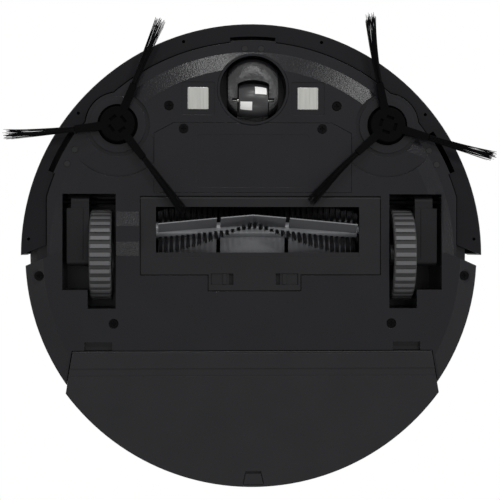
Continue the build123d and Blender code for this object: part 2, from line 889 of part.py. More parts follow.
def top_cover():
    """Deck, rear skirt and the wall behind the bumper, with vents on both flanks."""
    deck = turned(
        (0, deck_skin_under), (deck_radius - 2 * wall, deck_skin_under),
        (deck_radius - 2 * wall, deck_under), (deck_radius, deck_under),
        (deck_radius, deck_top), (0, deck_top),
    )
    deck = fillet(deck.edges().filter_by(GeomType.CIRCLE).sort_by(Axis.Z)[-1], deck_edge_round)
    height = (split_z, deck_under + seam)
    rear = plate((disc(body_radius) - disc(body_radius - wall)) & rear_zone(), height)
    inner_front = cover_front_radius - wall
    front = plate((disc(cover_front_radius) - disc(inner_front)) & front_zone(), height)
    step = rear_zone() - Pos(0, wall) * rear_zone()
    step = plate((step & disc(body_radius)) - disc(inner_front), height)
    under_deck = (deck_under - seam, deck_skin_under + seam)
    bridge = plate((disc(deck_radius - wall) - disc(inner_front)) & front_zone(), under_deck)
    across_deck = (-deck_radius, deck_radius)
    bridge = bridge & block(across_deck, across_deck, (deck_under, deck_top))
    cover = deck + rear + front + step + bridge
    cover -= plate(bay_plan(0), (0, bay_top))
    for turn in (-1, 1):
        for n in range(vent_count):
            angle = turn * (vent_first_angle + vent_step_angle * n)
            slot = Pos(*polar(body_radius, angle), (duct_under + duct_top) / 2) * Rot(0, 0, angle)
            cover -= slot * Box(vent_width, 4 * wall, duct_height - 4 * thin_wall)
    cover -= post(panel_radius, (deck_top - panel_thickness, deck_top + seam))
    hang = (board_z + board_thickness, deck_skin_under)
    for y in (board_front_y + 2 * wall, board_rear_y - 2 * wall):
        cover += both_sides(post(wall, hang, (-board_half_width + 2 * wall, y)))
    return deck_holes(cover)


def top_panel():
    """Round inlay on the deck."""
    return deck_holes(post(panel_radius - clearance, (deck_top - panel_thickness, deck_top)))


def battery_cover():
    """Cover under the battery, with a bare shallow recess for a label."""
    cover = plate(battery_cover_plan(0), (base_under, base_top))
    cover -= post(cup_outer_radius + 2 * clearance, (0, deck_top), (0, caster_y))
    middle_y = (battery_cover_front_y + battery_cover_rear_y) / 2 + wall
    recess = Pos(0, middle_y) * RectangleRounded(*label_recess_size, label_recess_corner)
    cover -= plate(recess, (0, base_under + label_recess_depth))
    x, y, under = screw_places[-1]
    hole = post(screw_bore_radius, (0, under + screw_depth), (-x, y))
    hole += post(screw_shank_radius + running_clearance, (0, deck_top), (-x, y))
    return cover - both_sides(hole)


def battery_pack():
    """Block of cells in its wrapper, with rounded long edges."""
    x, y = (-battery_half_width, battery_half_width), (battery_front_y, battery_rear_y)
    pack = block(x, y, (base_top + clearance, base_top + clearance + battery_height))
    return fillet(pack.edges().filter_by(Axis.X), battery_edge_round)


def screws():
    """Eight identical screws, driven from below."""
    group = Part()
    length, width, depth = screw_cross_size
    for x, y, under in screw_places:
        head_under = under + screw_depth - screw_head_height
        head = post(screw_head_radius, (head_under, under + screw_depth), (-x, y))
        shank_z = (under + screw_depth, under + screw_depth + screw_length - seam)
        shank = post(screw_shank_radius, shank_z, (-x, y))
        cross = Box(length, width, 2 * depth) + Box(width, length, 2 * depth)
        group += both_sides(head + shank - Pos(-x, y, head_under) * cross)
    return group


def charging_contacts():
    """Two sprung contact plates in their frames."""
    at = Pos(-contact_x, contact_y)
    flat = at * RectangleRounded(*contact_size, contact_corner)
    face = plate(flat, (base_under - contact_proud, lip_top))
    face = fillet(face.faces().sort_by(Axis.Z)[0].edges(), contact_edge_round)
    tail_size = [side + 2 * contact_tail_margin for side in contact_size]
    tail = plate(at * Rectangle(*tail_size), (base_top, lip_top))
    return both_sides(face + tail)


def circuit_board():
    """Main board under the deck, with chips and the two key switches."""
    x, y = (-board_half_width, board_half_width), (board_front_y, board_rear_y)
    board = block(x, y, (board_z, board_z + board_thickness))
    for chip_x, chip_y, size in chips:
        board += Pos(chip_x, button_y + chip_y, board_z) * Box(size, size, 2 * chip_height)
    key_top = deck_skin_under - sheet - button_travel - clearance
    return board + both_sides(post(key_switch_radius, (board_z, key_top), (-button_x, button_y)))


def cliff_sensor_lenses():
    """Six small dark lenses in the lip."""
    group = Part()
    for place in lens_places():
        group += post(lens_radius, (lip_under - clearance, lip_top), place)
    return group


def bumper_switches():
    """Two switches on the wall behind the bumper."""
    group = Part()
    width, depth, height = switch_size
    for turn in (-1, 1):
        angle = turn * switch_angle
        place = polar(cover_front_radius + depth / 2 - running_clearance, angle)
        group += Pos(*place, window_z) * Rot(0, 0, angle) * Box(width, depth, height)
    return group - post(cover_front_radius, (0, deck_top))


def bumper_shell():
    """Curved shell around the front half, with a flange under it."""
    inner = bumper_radius - bumper_wall
    height = (bumper_under, bumper_top)
    shell = post(bumper_radius, height) - post(inner, (0, deck_top))
    low_edges = shell.edges().filter_by(GeomType.CIRCLE).group_by(Axis.Z)[0]
    shell = fillet(low_edges.sort_by(SortBy.LENGTH)[-1], bumper_edge_round)
    flange_plan = disc(bumper_radius - bumper_wall / 2) - lip_plan(seam)
    flange = plate(flange_plan, (bumper_under, bumper_under + flange_thickness))
    shell = (shell + flange) & plate(Pos(0, -bumper_end_gap) * front_zone(), (0, deck_top))
    for angle in bumper_hole_angles:
        place = polar(bumper_radius - bumper_hole_inset, angle)
        shell -= post(bumper_hole_radius, (0, bumper_under + flange_thickness + seam), place)
    window = wedge(window_half_angle, 0, 2 * bumper_radius) - disc(bumper_radius - window_thickness)
    return shell - plate(window, (window_z - window_height / 2, window_z + window_height / 2))


def bumper_window():
    """Dark strip let into the front of the bumper."""
    ring = disc(bumper_radius) - disc(bumper_radius - window_thickness + clearance / 3)
    gap = degrees(clearance / bumper_radius)
    strip = ring & wedge(window_half_angle - gap, 0, 2 * bumper_radius)
    half = window_height / 2 - clearance
    return plate(strip, (window_z - half, window_z + half))


def wheel_arm():
    """Swing arm: a tray for the wheel motor, with a knuckle on the pivot pin."""
    x = (-arm_outer_x, -arm_inner_x)
    body = block(x, (arm_front_y, arm_rear_y), (arm_under, arm_top))
    heel = body.edges().filter_by(Axis.X).sort_by(lambda edge: edge.center().Z - edge.center().Y)[0]
    body = fillet(heel, arm_heel_round)
    inner_x = (x[0] + thin_wall, x[1] - thin_wall)
    inner_y = (arm_front_y + thin_wall, arm_rear_y - 2 * wall)
    tray = body - block(inner_x, inner_y, (arm_under + thin_wall, arm_top + seam))
    seam_x = (x[1] - arm_seam_inset - arm_seam_width, x[1] - arm_seam_inset)
    tray -= block(seam_x, (arm_front_y - seam, arm_rear_y - arm_heel_round), (0, arm_under + arm_seam_depth))
    knuckle_x = (x[0] + knuckle_inset, x[1])
    knuckle = bar(knuckle_radius, knuckle_x, pivot_y, pivot_z)
    link_z = (pivot_z - knuckle_radius, pivot_z + knuckle_radius)
    knuckle += block(knuckle_x, (pivot_y, arm_front_y + seam), link_z)
    boss = bar(2 * axle_radius, (x[1] - 3 * wall, x[1]), 0, wheel_z)
    arm = tray + knuckle + (boss & body)
    arm -= bar(pin_radius + running_clearance, (2 * x[0], 0), pivot_y, pivot_z)
    return arm - bar(axle_radius + running_clearance, (x[1] - 4 * wall, 0), 0, wheel_z)


def wheel_motor():
    """Motor can and its closed reduction block, lying in the arm's tray."""
    middle_x = -(arm_inner_x + arm_outer_x) / 2
    under = arm_under + thin_wall + clearance
    front = arm_front_y + thin_wall + clearance
    block_y = (gear_block_front_y, arm_rear_y - 2 * wall - clearance)
    can_y = (front, block_y[0] + seam)
    can = Pos(middle_x, (can_y[0] + can_y[1]) / 2, under + motor_can_radius) * Rot(90, 0, 0)
    can = can * Cylinder(motor_can_radius, can_y[1] - can_y[0])
    half = motor_can_radius
    gears = block((middle_x - half, middle_x + half), block_y, (under, wheel_z + 3 * wall))
    return can + gears - bar(2 * axle_radius + clearance, (middle_x - half + wall, 0), 0, wheel_z)


def wheel_axle():
    """Stub axle that turns with the wheel."""
    end_x = -wheel_x + tyre_half - seam
    return bar(axle_radius, (-arm_inner_x - 3 * wall, end_x), 0, wheel_z)


def wheel_hub():
    """Rim, web with round holes and boss."""
    rim = wheel_radius - tyre_thickness
    half = tyre_half - clearance
    x = (-wheel_x - half, -wheel_x + half)
    hub = bar(rim, x, 0, 0) - bar(rim - wall, x, 0, 0)
    hub += bar(rim - seam, (-wheel_x - hub_web / 2, -wheel_x + hub_web / 2), 0, 0)
    hub += bar(hub_boss_radius, x, 0, 0)
    for n in range(hub_hole_count):
        turn = 2 * pi * n / hub_hole_count
        place = (hub_hole_ring * cos(turn), hub_hole_ring * sin(turn))
        hub -= bar(hub_hole_radius, (x[0] - seam, x[1] + seam), *place)
    hub -= bar(axle_radius, (-2 * wheel_x, 0), 0, 0)
    return Pos(0, 0, wheel_z) * hub


def tyre():
    """Rubber tyre with grooves across its tread."""
    x = (-wheel_x - tyre_half, -wheel_x + tyre_half)
    ring = bar(wheel_radius, x, 0, 0)
    ring = chamfer(ring.edges().filter_by(GeomType.CIRCLE), tyre_edge)
    ring -= bar(wheel_radius - tyre_thickness, (x[0] - seam, x[1] + seam), 0, 0)
    groove = Pos(-wheel_x, 0, wheel_radius) * Box(2 * tyre_width, tread_groove, 2 * tread_depth)
    grooves = [Rot(360 * n / tread_count, 0, 0) * groove for n in range(tread_count)]
    half_pitch = 180 / tread_count
    return Pos(0, 0, wheel_z) * Rot(half_pitch, 0, 0) * (ring - grooves)


def arm_pivot_pins():
    """Two steel pins across the wheel wells."""
    ends = (-well_outer_x - thin_wall, -well_inner_x + thin_wall)
    return both_sides(bar(pin_radius, ends, pivot_y, pivot_z))


def suspension_springs():
    """Coils around the pivot pins beside the arms."""
    radius = pin_radius + clearance + spring_wire
    path = Helix(spring_pitch, spring_pitch * spring_turns, radius)
    wire = sweep(Plane(path @ 0, z_dir=path % 0) * Circle(spring_wire), path)
    start_x = -arm_inner_x + 2 * spring_wire + clearance
    return both_sides(Pos(start_x, pivot_y, pivot_z) * Rot(0, 90, 0) * wire)


def caster_socket():
    """Cup in the chassis that the caster turns in."""
    top = cup_top - cup_wall
    cup = post(cup_outer_radius, (base_under, cup_top)) - post(cup_radius, (0, top))
    cup += post(stem_boss_radius, (top, cup_top + stem_length))
    cup -= post(stem_radius + running_clearance, (0, deck_top))
    return Pos(0, caster_y) * cup


def caster_fork():
    """Domed fork with a slot for the wheel and open seats for its axle."""
    fork = post(fork_radius, (fork_under, fork_top))
    fork = fillet(fork.edges().filter_by(GeomType.CIRCLE).sort_by(Axis.Z)[0], fork_dome)
    wide = 2 * fork_radius
    fork = fork & block((-fork_half_width, fork_half_width), (-wide, wide), (0, deck_top))
    rest = cup_top - cup_wall - clearance
    fork += post(stem_shoulder_radius, (fork_top - seam, rest))
    fork += post(stem_radius, (fork_top - seam, cup_top + stem_length - seam))
    half = caster_wheel_width / 2 + caster_slot_side
    front = caster_trail - caster_end_radius - caster_slot_side
    arch = caster_trail - caster_wheel_radius - 2 * caster_slot_side
    over = caster_axle_z + caster_wheel_radius + 2 * caster_slot_side
    slot = make_face(
        Polyline((half, front), (half, wide), (-half, wide), (-half, front))
        + ThreePointArc((-half, front), (0, arch), (half, front))
    )
    fork -= plate(slot, (0, over))
    seat = caster_axle_radius + running_clearance
    ends = (-caster_axle_length / 2 - clearance, caster_axle_length / 2 + clearance)
    fork -= bar(seat, ends, caster_trail, caster_axle_z)
    fork -= block(ends, (caster_trail - seat, caster_trail + seat), (0, caster_axle_z))
    return Pos(0, caster_y) * fork


def caster_axle():
    """Thin steel axle in the fork's seats."""
    half = caster_axle_length / 2
    return bar(caster_axle_radius, (-half, half), caster_axle_y, caster_axle_z)


def barrel(shrink):
    """Barrel shape of the caster wheel, about the X axis."""
    half = caster_wheel_width / 2 - shrink
    profile = make_face(
        Polyline((-half, 0), (-half, caster_end_radius - shrink))
        + ThreePointArc(
            (-half, caster_end_radius - shrink), (0, caster_wheel_radius - shrink),
            (half, caster_end_radius - shrink),
        )
        + Polyline((half, caster_end_radius - shrink), (half, 0), (-half, 0))
    )
    return revolve(profile, Axis.X)


def caster_patches(gap):
    """Room for the two light patches, one on each half of the wheel."""
    half_width = caster_wheel_width / 2
    ring = bar(2 * caster_wheel_radius, (seam + gap, half_width - seam - gap), 0, 0)
    ring -= bar(caster_end_radius - 2 * seam + gap, (0, half_width), 0, 0)
    reach = 4 * caster_wheel_radius
    half_angle = radians(caster_patch_angle / 2)
    sector = outline((gap, 0), (reach, reach * tan(half_angle)), (reach, -reach * tan(half_angle)))
    patch = ring & along_x(sector, (0, half_width))
    right_turn, left_turn = caster_patch_turns
    left = Rot(left_turn, 0, 0) * mirror(patch, about=Plane.YZ)
    return Rot(right_turn, 0, 0) * patch + left


def caster_wheel():
    """Dark barrel wheel with pockets for its two light patches."""
    wheel = barrel(0) - bar(caster_axle_radius + running_clearance, (-fork_radius, fork_radius), 0, 0)
    return Pos(0, caster_axle_y, caster_axle_z) * (wheel - caster_patches(0))


def caster_wheel_patches():
    """Light patches that a sensor counts as the wheel turns."""
    return Pos(0, caster_axle_y, caster_axle_z) * (barrel(patch_gap / 5) & caster_patches(patch_gap))


def side_brush_motors():
    """Two geared motors above the side brushes, with their output shafts."""
    group = Part()
    for hub in side_hubs:
        motor = post(side_motor_radius, (lip_top, lip_top + side_motor_height), hub)
        motor = fillet(motor.edges().filter_by(GeomType.CIRCLE).sort_by(Axis.Z)[-1], side_motor_round)
        group += motor + post(axle_radius, (side_cap_top, lip_top + seam), hub)
    return group


def across(x, z, size):
    """A flat rectangle across X at one place of a side brush's arm."""
    return Plane((x, 0, z), x_dir=(0, 1, 0), z_dir=(1, 0, 0)) * Rectangle(*size)


def side_brush_parts(hub, first_angle):
    """Hub with rubber arms, and the tufts on their ends."""
    cap = post(side_cap_radius, (side_cap_under, side_cap_top))
    cap = fillet(cap.edges().filter_by(GeomType.CIRCLE).sort_by(Axis.Z)[0], side_cap_round)
    cap += post(axle_radius + side_bore_wall, (side_cap_top - seam, lip_top - 2 * clearance))
    cap -= post(axle_radius + running_clearance, (side_cap_top - running_clearance, deck_top))
    width, length, depth = cap_slot_size
    slot = Pos(cap_slot_ring, 0, side_cap_under) * Box(width, length, 2 * depth)
    for n in range(cap_slot_count):
        cap -= Rot(0, 0, first_angle + 360 * n / cap_slot_count) * slot
    arm_z = side_cap_under + side_cap_height / 2
    end_z = side_cap_under - side_arm_drop
    start = across(side_cap_radius - 2 * wall, arm_z, side_arm_size)
    arm = loft([start, across(side_arm_radius, end_z, side_arm_end_size)])
    middle = (side_arm_radius + side_tip_radius) / 2
    tuft = loft([
        across(side_arm_radius, end_z, tuft_root_size),
        across(middle, (end_z + tuft_tip_z) / 2 - tuft_sag, tuft_middle_size),
        across(side_tip_radius, tuft_tip_z, tuft_tip_size),
    ], ruled=True)
    tufts = Part()
    for n in range(side_arm_count):
        turn = Rot(0, 0, first_angle + 360 * n / side_arm_count)
        cap += turn * arm
        tufts += turn * tuft
    return Pos(*hub) * cap, Pos(*hub) * tufts


def strip_section(x, turn, root, tip):
    """Section of a brush strip at a place along X, leaning from its root in the core to its tip."""
    ends = []
    for radius, (angle, angle_per_mm, width) in ((core_radius - seam, root), (brush_radius, tip)):
        way = radians(angle + angle_per_mm * abs(x) + turn)
        ends.append((Vector(radius * cos(way), radius * sin(way)), width / 2))
    (low, low_half), (high, high_half) = ends
    side = (high - low).normalized().rotate(Axis.Z, 90)
    face = outline(
        low - side * low_half, high - side * high_half, high + side * high_half, low + side * low_half
    )
    return Pos(x, 0, 0) * (Plane.YZ * face)


def brush_rows(count, root, tip):
    """Rows of V-shaped strips around the core; root and tip give angle, angle per mm and width."""
    lengths = []
    for side, end in ((-1, brush_left_x), (1, brush_right_x)):
        lengths.append((side, 0, strip_gap_x - strip_gap / 2))
        lengths.append((side, strip_gap_x + strip_gap / 2, abs(end) - seam))
    rows = Part()
    for row in range(count):
        turn = 360 * row / count
        for side, near, far in lengths:
            steps = ceil((far - near) / strip_step)
            places = [side * (near + (far - near) * n / steps) for n in range(steps + 1)]
            rows += loft([strip_section(x, turn, root, tip) for x in places], ruled=True)
    rows -= bar(core_radius, (brush_left_x, brush_right_x), 0, 0)
    return Pos(0, brush_y, brush_z) * rows


def brush_blades():
    """Rubber blades that lean back and thin out towards their tips."""
    root = (blade_root_angle, blade_root_turn, blade_root_width)
    return brush_rows(blade_rows, root, (blade_tip_angle, blade_tip_turn, blade_tip_width))


def brush_bristles():
    """Plain strips in place of the bristle rows between the blades."""
    strip = (bristle_angle, bristle_turn, bristle_width)
    return brush_rows(bristle_rows, strip, strip)


def brush_core():
    """Core of the main brush with its end hubs and right-hand journal."""
    core = bar(core_radius, (brush_left_x, brush_right_x), brush_y, brush_z)
    left_hub = 2 * journal_radius
    end_wall = brush_left_x - chamber_gap - seam
    core += bar(left_hub, (end_wall + clearance, brush_left_x + seam), brush_y, brush_z)
    right_end = brush_right_x + chamber_gap + seam + chamber_wall
    core += bar(journal_radius, (brush_right_x - seam, right_end), brush_y, brush_z)
    shaft_x = (2 * brush_left_x, brush_left_x + 2 * wall)
    return core - bar(journal_radius + running_clearance, shaft_x, brush_y, brush_z)


def brush_cover():
    """Frame around the brush window, hinged at its front edge, with two latch windows."""
    cover = plate(brush_cover_plan(0), (cover_under, cover_top))
    square = block((cover_left_x, cover_right_x), (cover_front_y, hinge_y), (cover_under, cover_top))
    roll = bar(hinge_radius, (cover_left_x, cover_right_x), hinge_y, hinge_z)
    cover = cover - square + roll
    window_x = (window_left_x, window_right_x)
    lip_y = window_rear_y - window_lip_width
    cover -= block(window_x, (window_front_y, lip_y), (0, deck_top))
    cover -= block(window_x, (lip_y, window_rear_y), (0, cover_under + window_lip_recess))
    cover -= bar(brush_radius + brush_relief, window_x, brush_y, brush_z)
    for side in (-1, 1):
        x = sorted((latch_mid_x + side * latch_inner, latch_mid_x + side * latch_outer))
        ledge_y = (latch_front_y + latch_ledge, latch_rear_y - latch_ledge)
        cover -= block(x, ledge_y, (0, deck_top))
        cover -= block(x, (latch_front_y, latch_rear_y), (latch_shelf_z, deck_top))
    pins_x = (cover_left_x - hinge_pin_length, cover_right_x + hinge_pin_length)
    pins = bar(hinge_pin_radius, pins_x, hinge_y, hinge_z)
    middle = block((cover_left_x, cover_right_x), (-body_radius, body_radius), (0, deck_top))
    return cover + (pins - middle)


def cover_latch(side):
    """Sliding latch in the cover's tab, with a grip bar under it."""
    gap = clearance
    inner = latch_inner + gap + latch_travel
    x = sorted((latch_mid_x + side * inner, latch_mid_x + side * (latch_outer - gap)))
    z = (latch_shelf_z + gap / 2, cover_top - gap / 2)
    latch = block(x, (latch_front_y + gap, latch_rear_y - gap), z)
    grip = inner + grip_inset
    grip_x = sorted((latch_mid_x + side * grip, latch_mid_x + side * (grip + grip_width)))
    grip_y = (latch_front_y + latch_ledge + gap, latch_rear_y - latch_ledge - gap)
    return latch + block(grip_x, grip_y, (cover_under - gap, z[1]))


def brush_housing():
    """Arched chamber over the main brush, with a flange on the chassis and a duct to the bin."""
    inner_x = (brush_left_x - chamber_gap - seam, brush_right_x + chamber_gap + seam)
    outer_x = (inner_x[0] - chamber_wall, inner_x[1] + chamber_wall)
    arch = bar(chamber_radius + chamber_wall, outer_x, brush_y, brush_z)
    arch = arch & block(outer_x, (-body_radius, body_radius), (base_top, deck_top))
    flange_x = (gearbox_right_x + 2 * clearance, cover_right_x + 2 * seam)
    flange_y = (cover_front_y - thin_wall, cover_tab_y + 2 * seam)
    housing = arch + block(flange_x, flange_y, (base_top, housing_top_of_flange))
    duct_y = (brush_y + duct_mouth_reach, bay_front_y - thin_wall)
    housing += block((duct_left_x, duct_right_x), duct_y, (duct_under, duct_top))
    inside_y = (duct_y[0] + thin_wall, bay_front_y)
    inside_x = (duct_left_x + thin_wall, duct_right_x - thin_wall)
    housing -= block(inside_x, inside_y, (duct_under + thin_wall, duct_top - thin_wall))
    housing -= bar(chamber_radius, inner_x, brush_y, brush_z)
    journal = journal_radius + running_clearance
    return housing - bar(journal, (-body_radius, body_radius), brush_y, brush_z)


def gearbox_plan(grow):
    """Outline around the three gears, as Y and Z."""
    drive, idler, pinion = gear_train()
    rims = []
    for centre, teeth in ((drive, drive_teeth), (idler, idler_teeth), (pinion, pinion_teeth)):
        rims.append(disc(tip_radius(teeth) + 2 * clearance + grow, centre).edge())
    return make_hull(rims)


def brush_gearbox():
    """Case around the gear train, with the idler's fixed pin."""
    x = (gearbox_left_x, gearbox_right_x)
    inner_x = (x[0] + thin_wall, x[1] - thin_wall)
    case = along_x(gearbox_plan(thin_wall), x) - along_x(gearbox_plan(0), inner_x)
    case = case & block(x, (-body_radius, body_radius), (base_top, deck_top))
    drive, idler, pinion = gear_train()
    case += bar(journal_radius / 2, (x[0] + seam, x[1] - seam), *idler)
    case -= bar(journal_radius + running_clearance, (inner_x[0], 0), *drive)
    return case - bar(journal_radius / 2 + running_clearance, (inner_x[0], 0), *pinion)


def brush_gears():
    """Drive gear with its shaft, idler, and pinion with the motor shaft."""
    drive, idler, pinion = gear_train()
    middle = (gearbox_left_x + gearbox_right_x) / 2
    x = (middle - gear_width / 2, middle + gear_width / 2)
    first = 0.0
    second = meshed(drive_teeth, first, drive, idler_teeth, idler)
    third = meshed(idler_teeth, second, idler, pinion_teeth, pinion)
    left = gearbox_left_x + thin_wall + clearance
    drive_gear = Pos(0, *drive) * along_x(involute_gear(drive_teeth, first), x)
    drive_gear += bar(journal_radius, (left, brush_left_x + 2 * wall - clearance), *drive)
    idler_gear = Pos(0, *idler) * along_x(involute_gear(idler_teeth, second), x)
    idler_gear += bar(2 * journal_radius, (x[0] - wall, x[1] + wall), *idler)
    idler_gear -= bar(journal_radius / 2 + running_clearance, (2 * left, 0), *idler)
    pinion_gear = Pos(0, *pinion) * along_x(involute_gear(pinion_teeth, third), x)
    pinion_gear += bar(journal_radius / 2, (left, gearbox_right_x + 3 * wall), *pinion)
    return drive_gear, idler_gear, pinion_gear


def brush_motor():
    """Round motor beside the duct, with a bore for its shaft."""
    pinion = gear_train()[2]
    x = (gearbox_right_x, gearbox_right_x + brush_motor_length)
    can = bar(brush_motor_radius, x, *pinion)
    can = fillet(can.edges().filter_by(GeomType.CIRCLE), brush_motor_round)
    return can - bar(journal_radius / 2 + running_clearance, (2 * x[0], x[0] + 3.5 * wall), *pinion)


def fan_housing():
    """Round fan case with a nozzle to the bin and an exhaust to the right flank."""
    floor = housing_top_of_flange
    z = (floor, fan_top)
    side_z = (duct_under, duct_top)
    inside_z = (duct_under + thin_wall, duct_top - thin_wall)
    case = post(fan_radius, z, (fan_x, fan_y))
    nozzle_x = (fan_x - nozzle_half_width, fan_x + nozzle_half_width)
    nozzle_y = (fan_y, bay_front_y - thin_wall)
    case += block(nozzle_x, nozzle_y, side_z)
    exhaust_y = (exhaust_front_y, exhaust_rear_y)
    exhaust_end = sqrt((body_radius - wall - seam) ** 2 - exhaust_rear_y ** 2)
    case += block((fan_x, exhaust_end), exhaust_y, side_z)
    inside = post(fan_radius - thin_wall, (floor + thin_wall, fan_top - thin_wall), (fan_x, fan_y))
    inside += block((nozzle_x[0] + thin_wall, nozzle_x[1] - thin_wall), (fan_y, 2 * fan_y), inside_z)
    inside_y = (exhaust_front_y + thin_wall, exhaust_rear_y - thin_wall)
    inside += block((fan_x, 2 * exhaust_end), inside_y, inside_z)
    return case - inside


def fan_motor():
    """Fan motor under the case's roof, with a bore for the impeller's shaft."""
    top = fan_top - thin_wall
    motor = post(fan_motor_radius, (top - impeller_height, top), (fan_x, fan_y))
    return motor - post(journal_radius + running_clearance, (0, top - thin_wall), (fan_x, fan_y))


def fan_impeller():
    """Backplate with upright blades and a short shaft."""
    top = fan_top - thin_wall - impeller_height - seam
    under = top - impeller_height
    wheel = post(impeller_radius, (top - thin_wall, top)) + post(2 * journal_radius, (under, top))
    wheel += post(journal_radius, (top, top + impeller_height - thin_wall))
    blade = Pos(1.25 * journal_radius + impeller_radius / 2, 0, (under + top) / 2)
    size = (impeller_blade_length, impeller_blade_thickness, impeller_height)
    blade = blade * Rot(0, 0, impeller_blade_turn) * Box(*size)
    for n in range(impeller_blades):
        wheel += Rot(0, 0, 360 * n / impeller_blades) * blade
    return Pos(fan_x, fan_y) * (wheel & post(impeller_radius, (0, deck_top)))


def bin_plan(grow):
    """Plan of the bin inside its bay, its rear flush with the body."""
    return bay_plan(grow - 2 * clearance) & disc(body_radius - clearance + grow)


def dust_bin():
    """Open-topped bin with a water tank on each flank and two front openings."""
    top = bin_top - lid_thickness
    tub = plate(bin_plan(0), (bin_under, top))
    room = plate(bin_plan(-thin_wall), (bin_under + thin_wall, deck_top))
    half = thin_wall / 2
    edges = (tank_partition_x - half, tank_partition_x + half)
    partition = block((-edges[1], -edges[0]), (-body_radius, body_radius), (0, top))
    tub -= room - both_sides(partition)
    through = (bay_front_y, bay_front_y + 2 * wall)
    mouth_z = (duct_under + 2 * thin_wall, duct_top - 2 * thin_wall)
    tub -= block((duct_left_x + 2 * thin_wall, duct_right_x - 2 * thin_wall), through, mouth_z)
    inset = nozzle_half_width - 2 * thin_wall
    tub -= block((fan_x - inset, fan_x + inset), through, mouth_z)
    width, depth, height = bin_button_size
    gap = 2 * clearance
    pocket_x = (-width / 2 - gap, width / 2 + gap)
    pocket_z = (bin_button_z - height / 2 - gap, bin_button_z + height / 2 + gap)
    pocket_y = (body_radius - depth - bin_button_travel - 2 * gap, body_radius)
    grow = thin_wall
    boss_x, boss_z = (pocket_x[0] - grow, pocket_x[1] + grow), (pocket_z[0] - grow, pocket_z[1] + grow)
    boss = block(boss_x, (pocket_y[0] - grow, body_radius), boss_z)
    tub += boss & plate(bin_plan(0), (bin_under, top))
    return tub - block(pocket_x, pocket_y, pocket_z)


def bin_button():
    """Release key in the bin's rear wall."""
    width, depth, height = bin_button_size
    rear = body_radius + bin_button_proud
    z = (bin_button_z - height / 2, bin_button_z + height / 2)
    key = block((-width / 2, width / 2), (body_radius - depth, rear + depth), z)
    return key & post(rear, (0, deck_top))


def bin_lid():
    """Flat lid on the bin."""
    return plate(bin_plan(0), (bin_top - lid_thickness, bin_top))


def bin_filter():
    """Pleated filter in its frame behind the fan's nozzle."""
    front = bay_front_y + 2 * clearance + thin_wall
    y = (front, front + filter_depth)
    half = nozzle_half_width
    frame = block((fan_x - half, fan_x + half), y, (bin_under + thin_wall, duct_top))
    step = 2 * (half - 2 * thin_wall) / filter_pleats
    pleat_z = (duct_under + 2 * thin_wall, duct_top - 2 * thin_wall)
    for n in range(filter_pleats):
        x = fan_x - half + 2 * thin_wall + step * n
        frame -= block((x, x + step / 2), (y[0] - seam, y[1] - 2 * thin_wall), pleat_z)
    return frame


def mop_plate():
    """Flat plate under the bin with a groove across it and a pocket for its catch."""
    far = 2 * bumper_radius
    wide = plate_half_width + bay_slope * (far - plate_front_y)
    near = ((-plate_half_width, plate_front_y), (plate_half_width, plate_front_y))
    plan = outline(*near, (wide, far), (-wide, far))
    body = plate(plan & disc(bumper_radius), (plate_under, plate_top))
    front = body.edges().filter_by(Axis.X).sort_by(lambda edge: edge.center().Z + edge.center().Y)[0]
    body = chamfer(front, plate_front_edge)
    groove_y = (plate_groove_y, plate_groove_y + plate_groove_width)
    body -= block((-far, far), groove_y, (0, plate_under + plate_groove_depth))
    return body - plate(catch_room(), (0, plate_under + catch_thickness + clearance))


def catch_room():
    """Plan of the pocket that the catch moves forward in."""
    front, rear = catch_front_y - clearance, catch_rear_y + clearance
    near, far = catch_front_half_width + clearance, catch_half_width + clearance
    travel = catch_travel + clearance
    return outline(
        (-near, front - travel), (near, front - travel), (far, rear - travel),
        (far, rear), (-far, rear), (-far, rear - travel),
    )


def plate_catch():
    """Small catch in the rear of the mop plate, wider at its rear."""
    near, far = catch_front_half_width, catch_half_width
    plan = outline((-near, catch_front_y), (near, catch_front_y), (far, catch_rear_y), (-far, catch_rear_y))
    return plate(plan, (plate_under, plate_under + catch_thickness))


def round_button(x):
    """Push button with a rim that holds it under the deck."""
    rim = (deck_skin_under - sheet, deck_skin_under - clearance)
    key = post(button_radius, (rim[0], deck_top + button_proud))
    key = fillet(key.edges().filter_by(GeomType.CIRCLE).sort_by(Axis.Z)[-1], button_edge_round)
    return Pos(x, button_y) * (key + post(button_radius + button_rim, rim))


def lidar_base():
    """Round tub let into the deck, with a rim on the panel and a pin for the rotor."""
    floor = lidar_under + wall
    rim = post(lidar_radius + 2 * seam, (deck_top, deck_top + thin_wall))
    tub = post(lidar_radius, (lidar_under, lidar_rim_top)) + rim
    tub -= post(lidar_radius - wall, (floor, 2 * deck_top))
    tub += post(journal_radius, (floor - seam, rotor_top - 4 * wall))
    return Pos(0, lidar_y) * tub


def lidar_rotor():
    """Spinning head with two eyes, on the pin of its base."""
    under = lidar_under + wall + clearance
    head = post(rotor_radius, (under, rotor_top))
    head = fillet(head.edges().filter_by(GeomType.CIRCLE).sort_by(Axis.Z)[-1], rotor_edge_round)
    head -= post(journal_radius + running_clearance, (0, rotor_top - 3 * wall))
    eye_z = (lidar_rim_top + rotor_top) / 2
    for side in (-1, 1):
        eye = Pos(side * eye_x, -rotor_radius, eye_z) * Rot(90, 0, 0)
        head -= eye * Cylinder(eye_radius, 2 * eye_depth)
    return Pos(0, lidar_y) * head


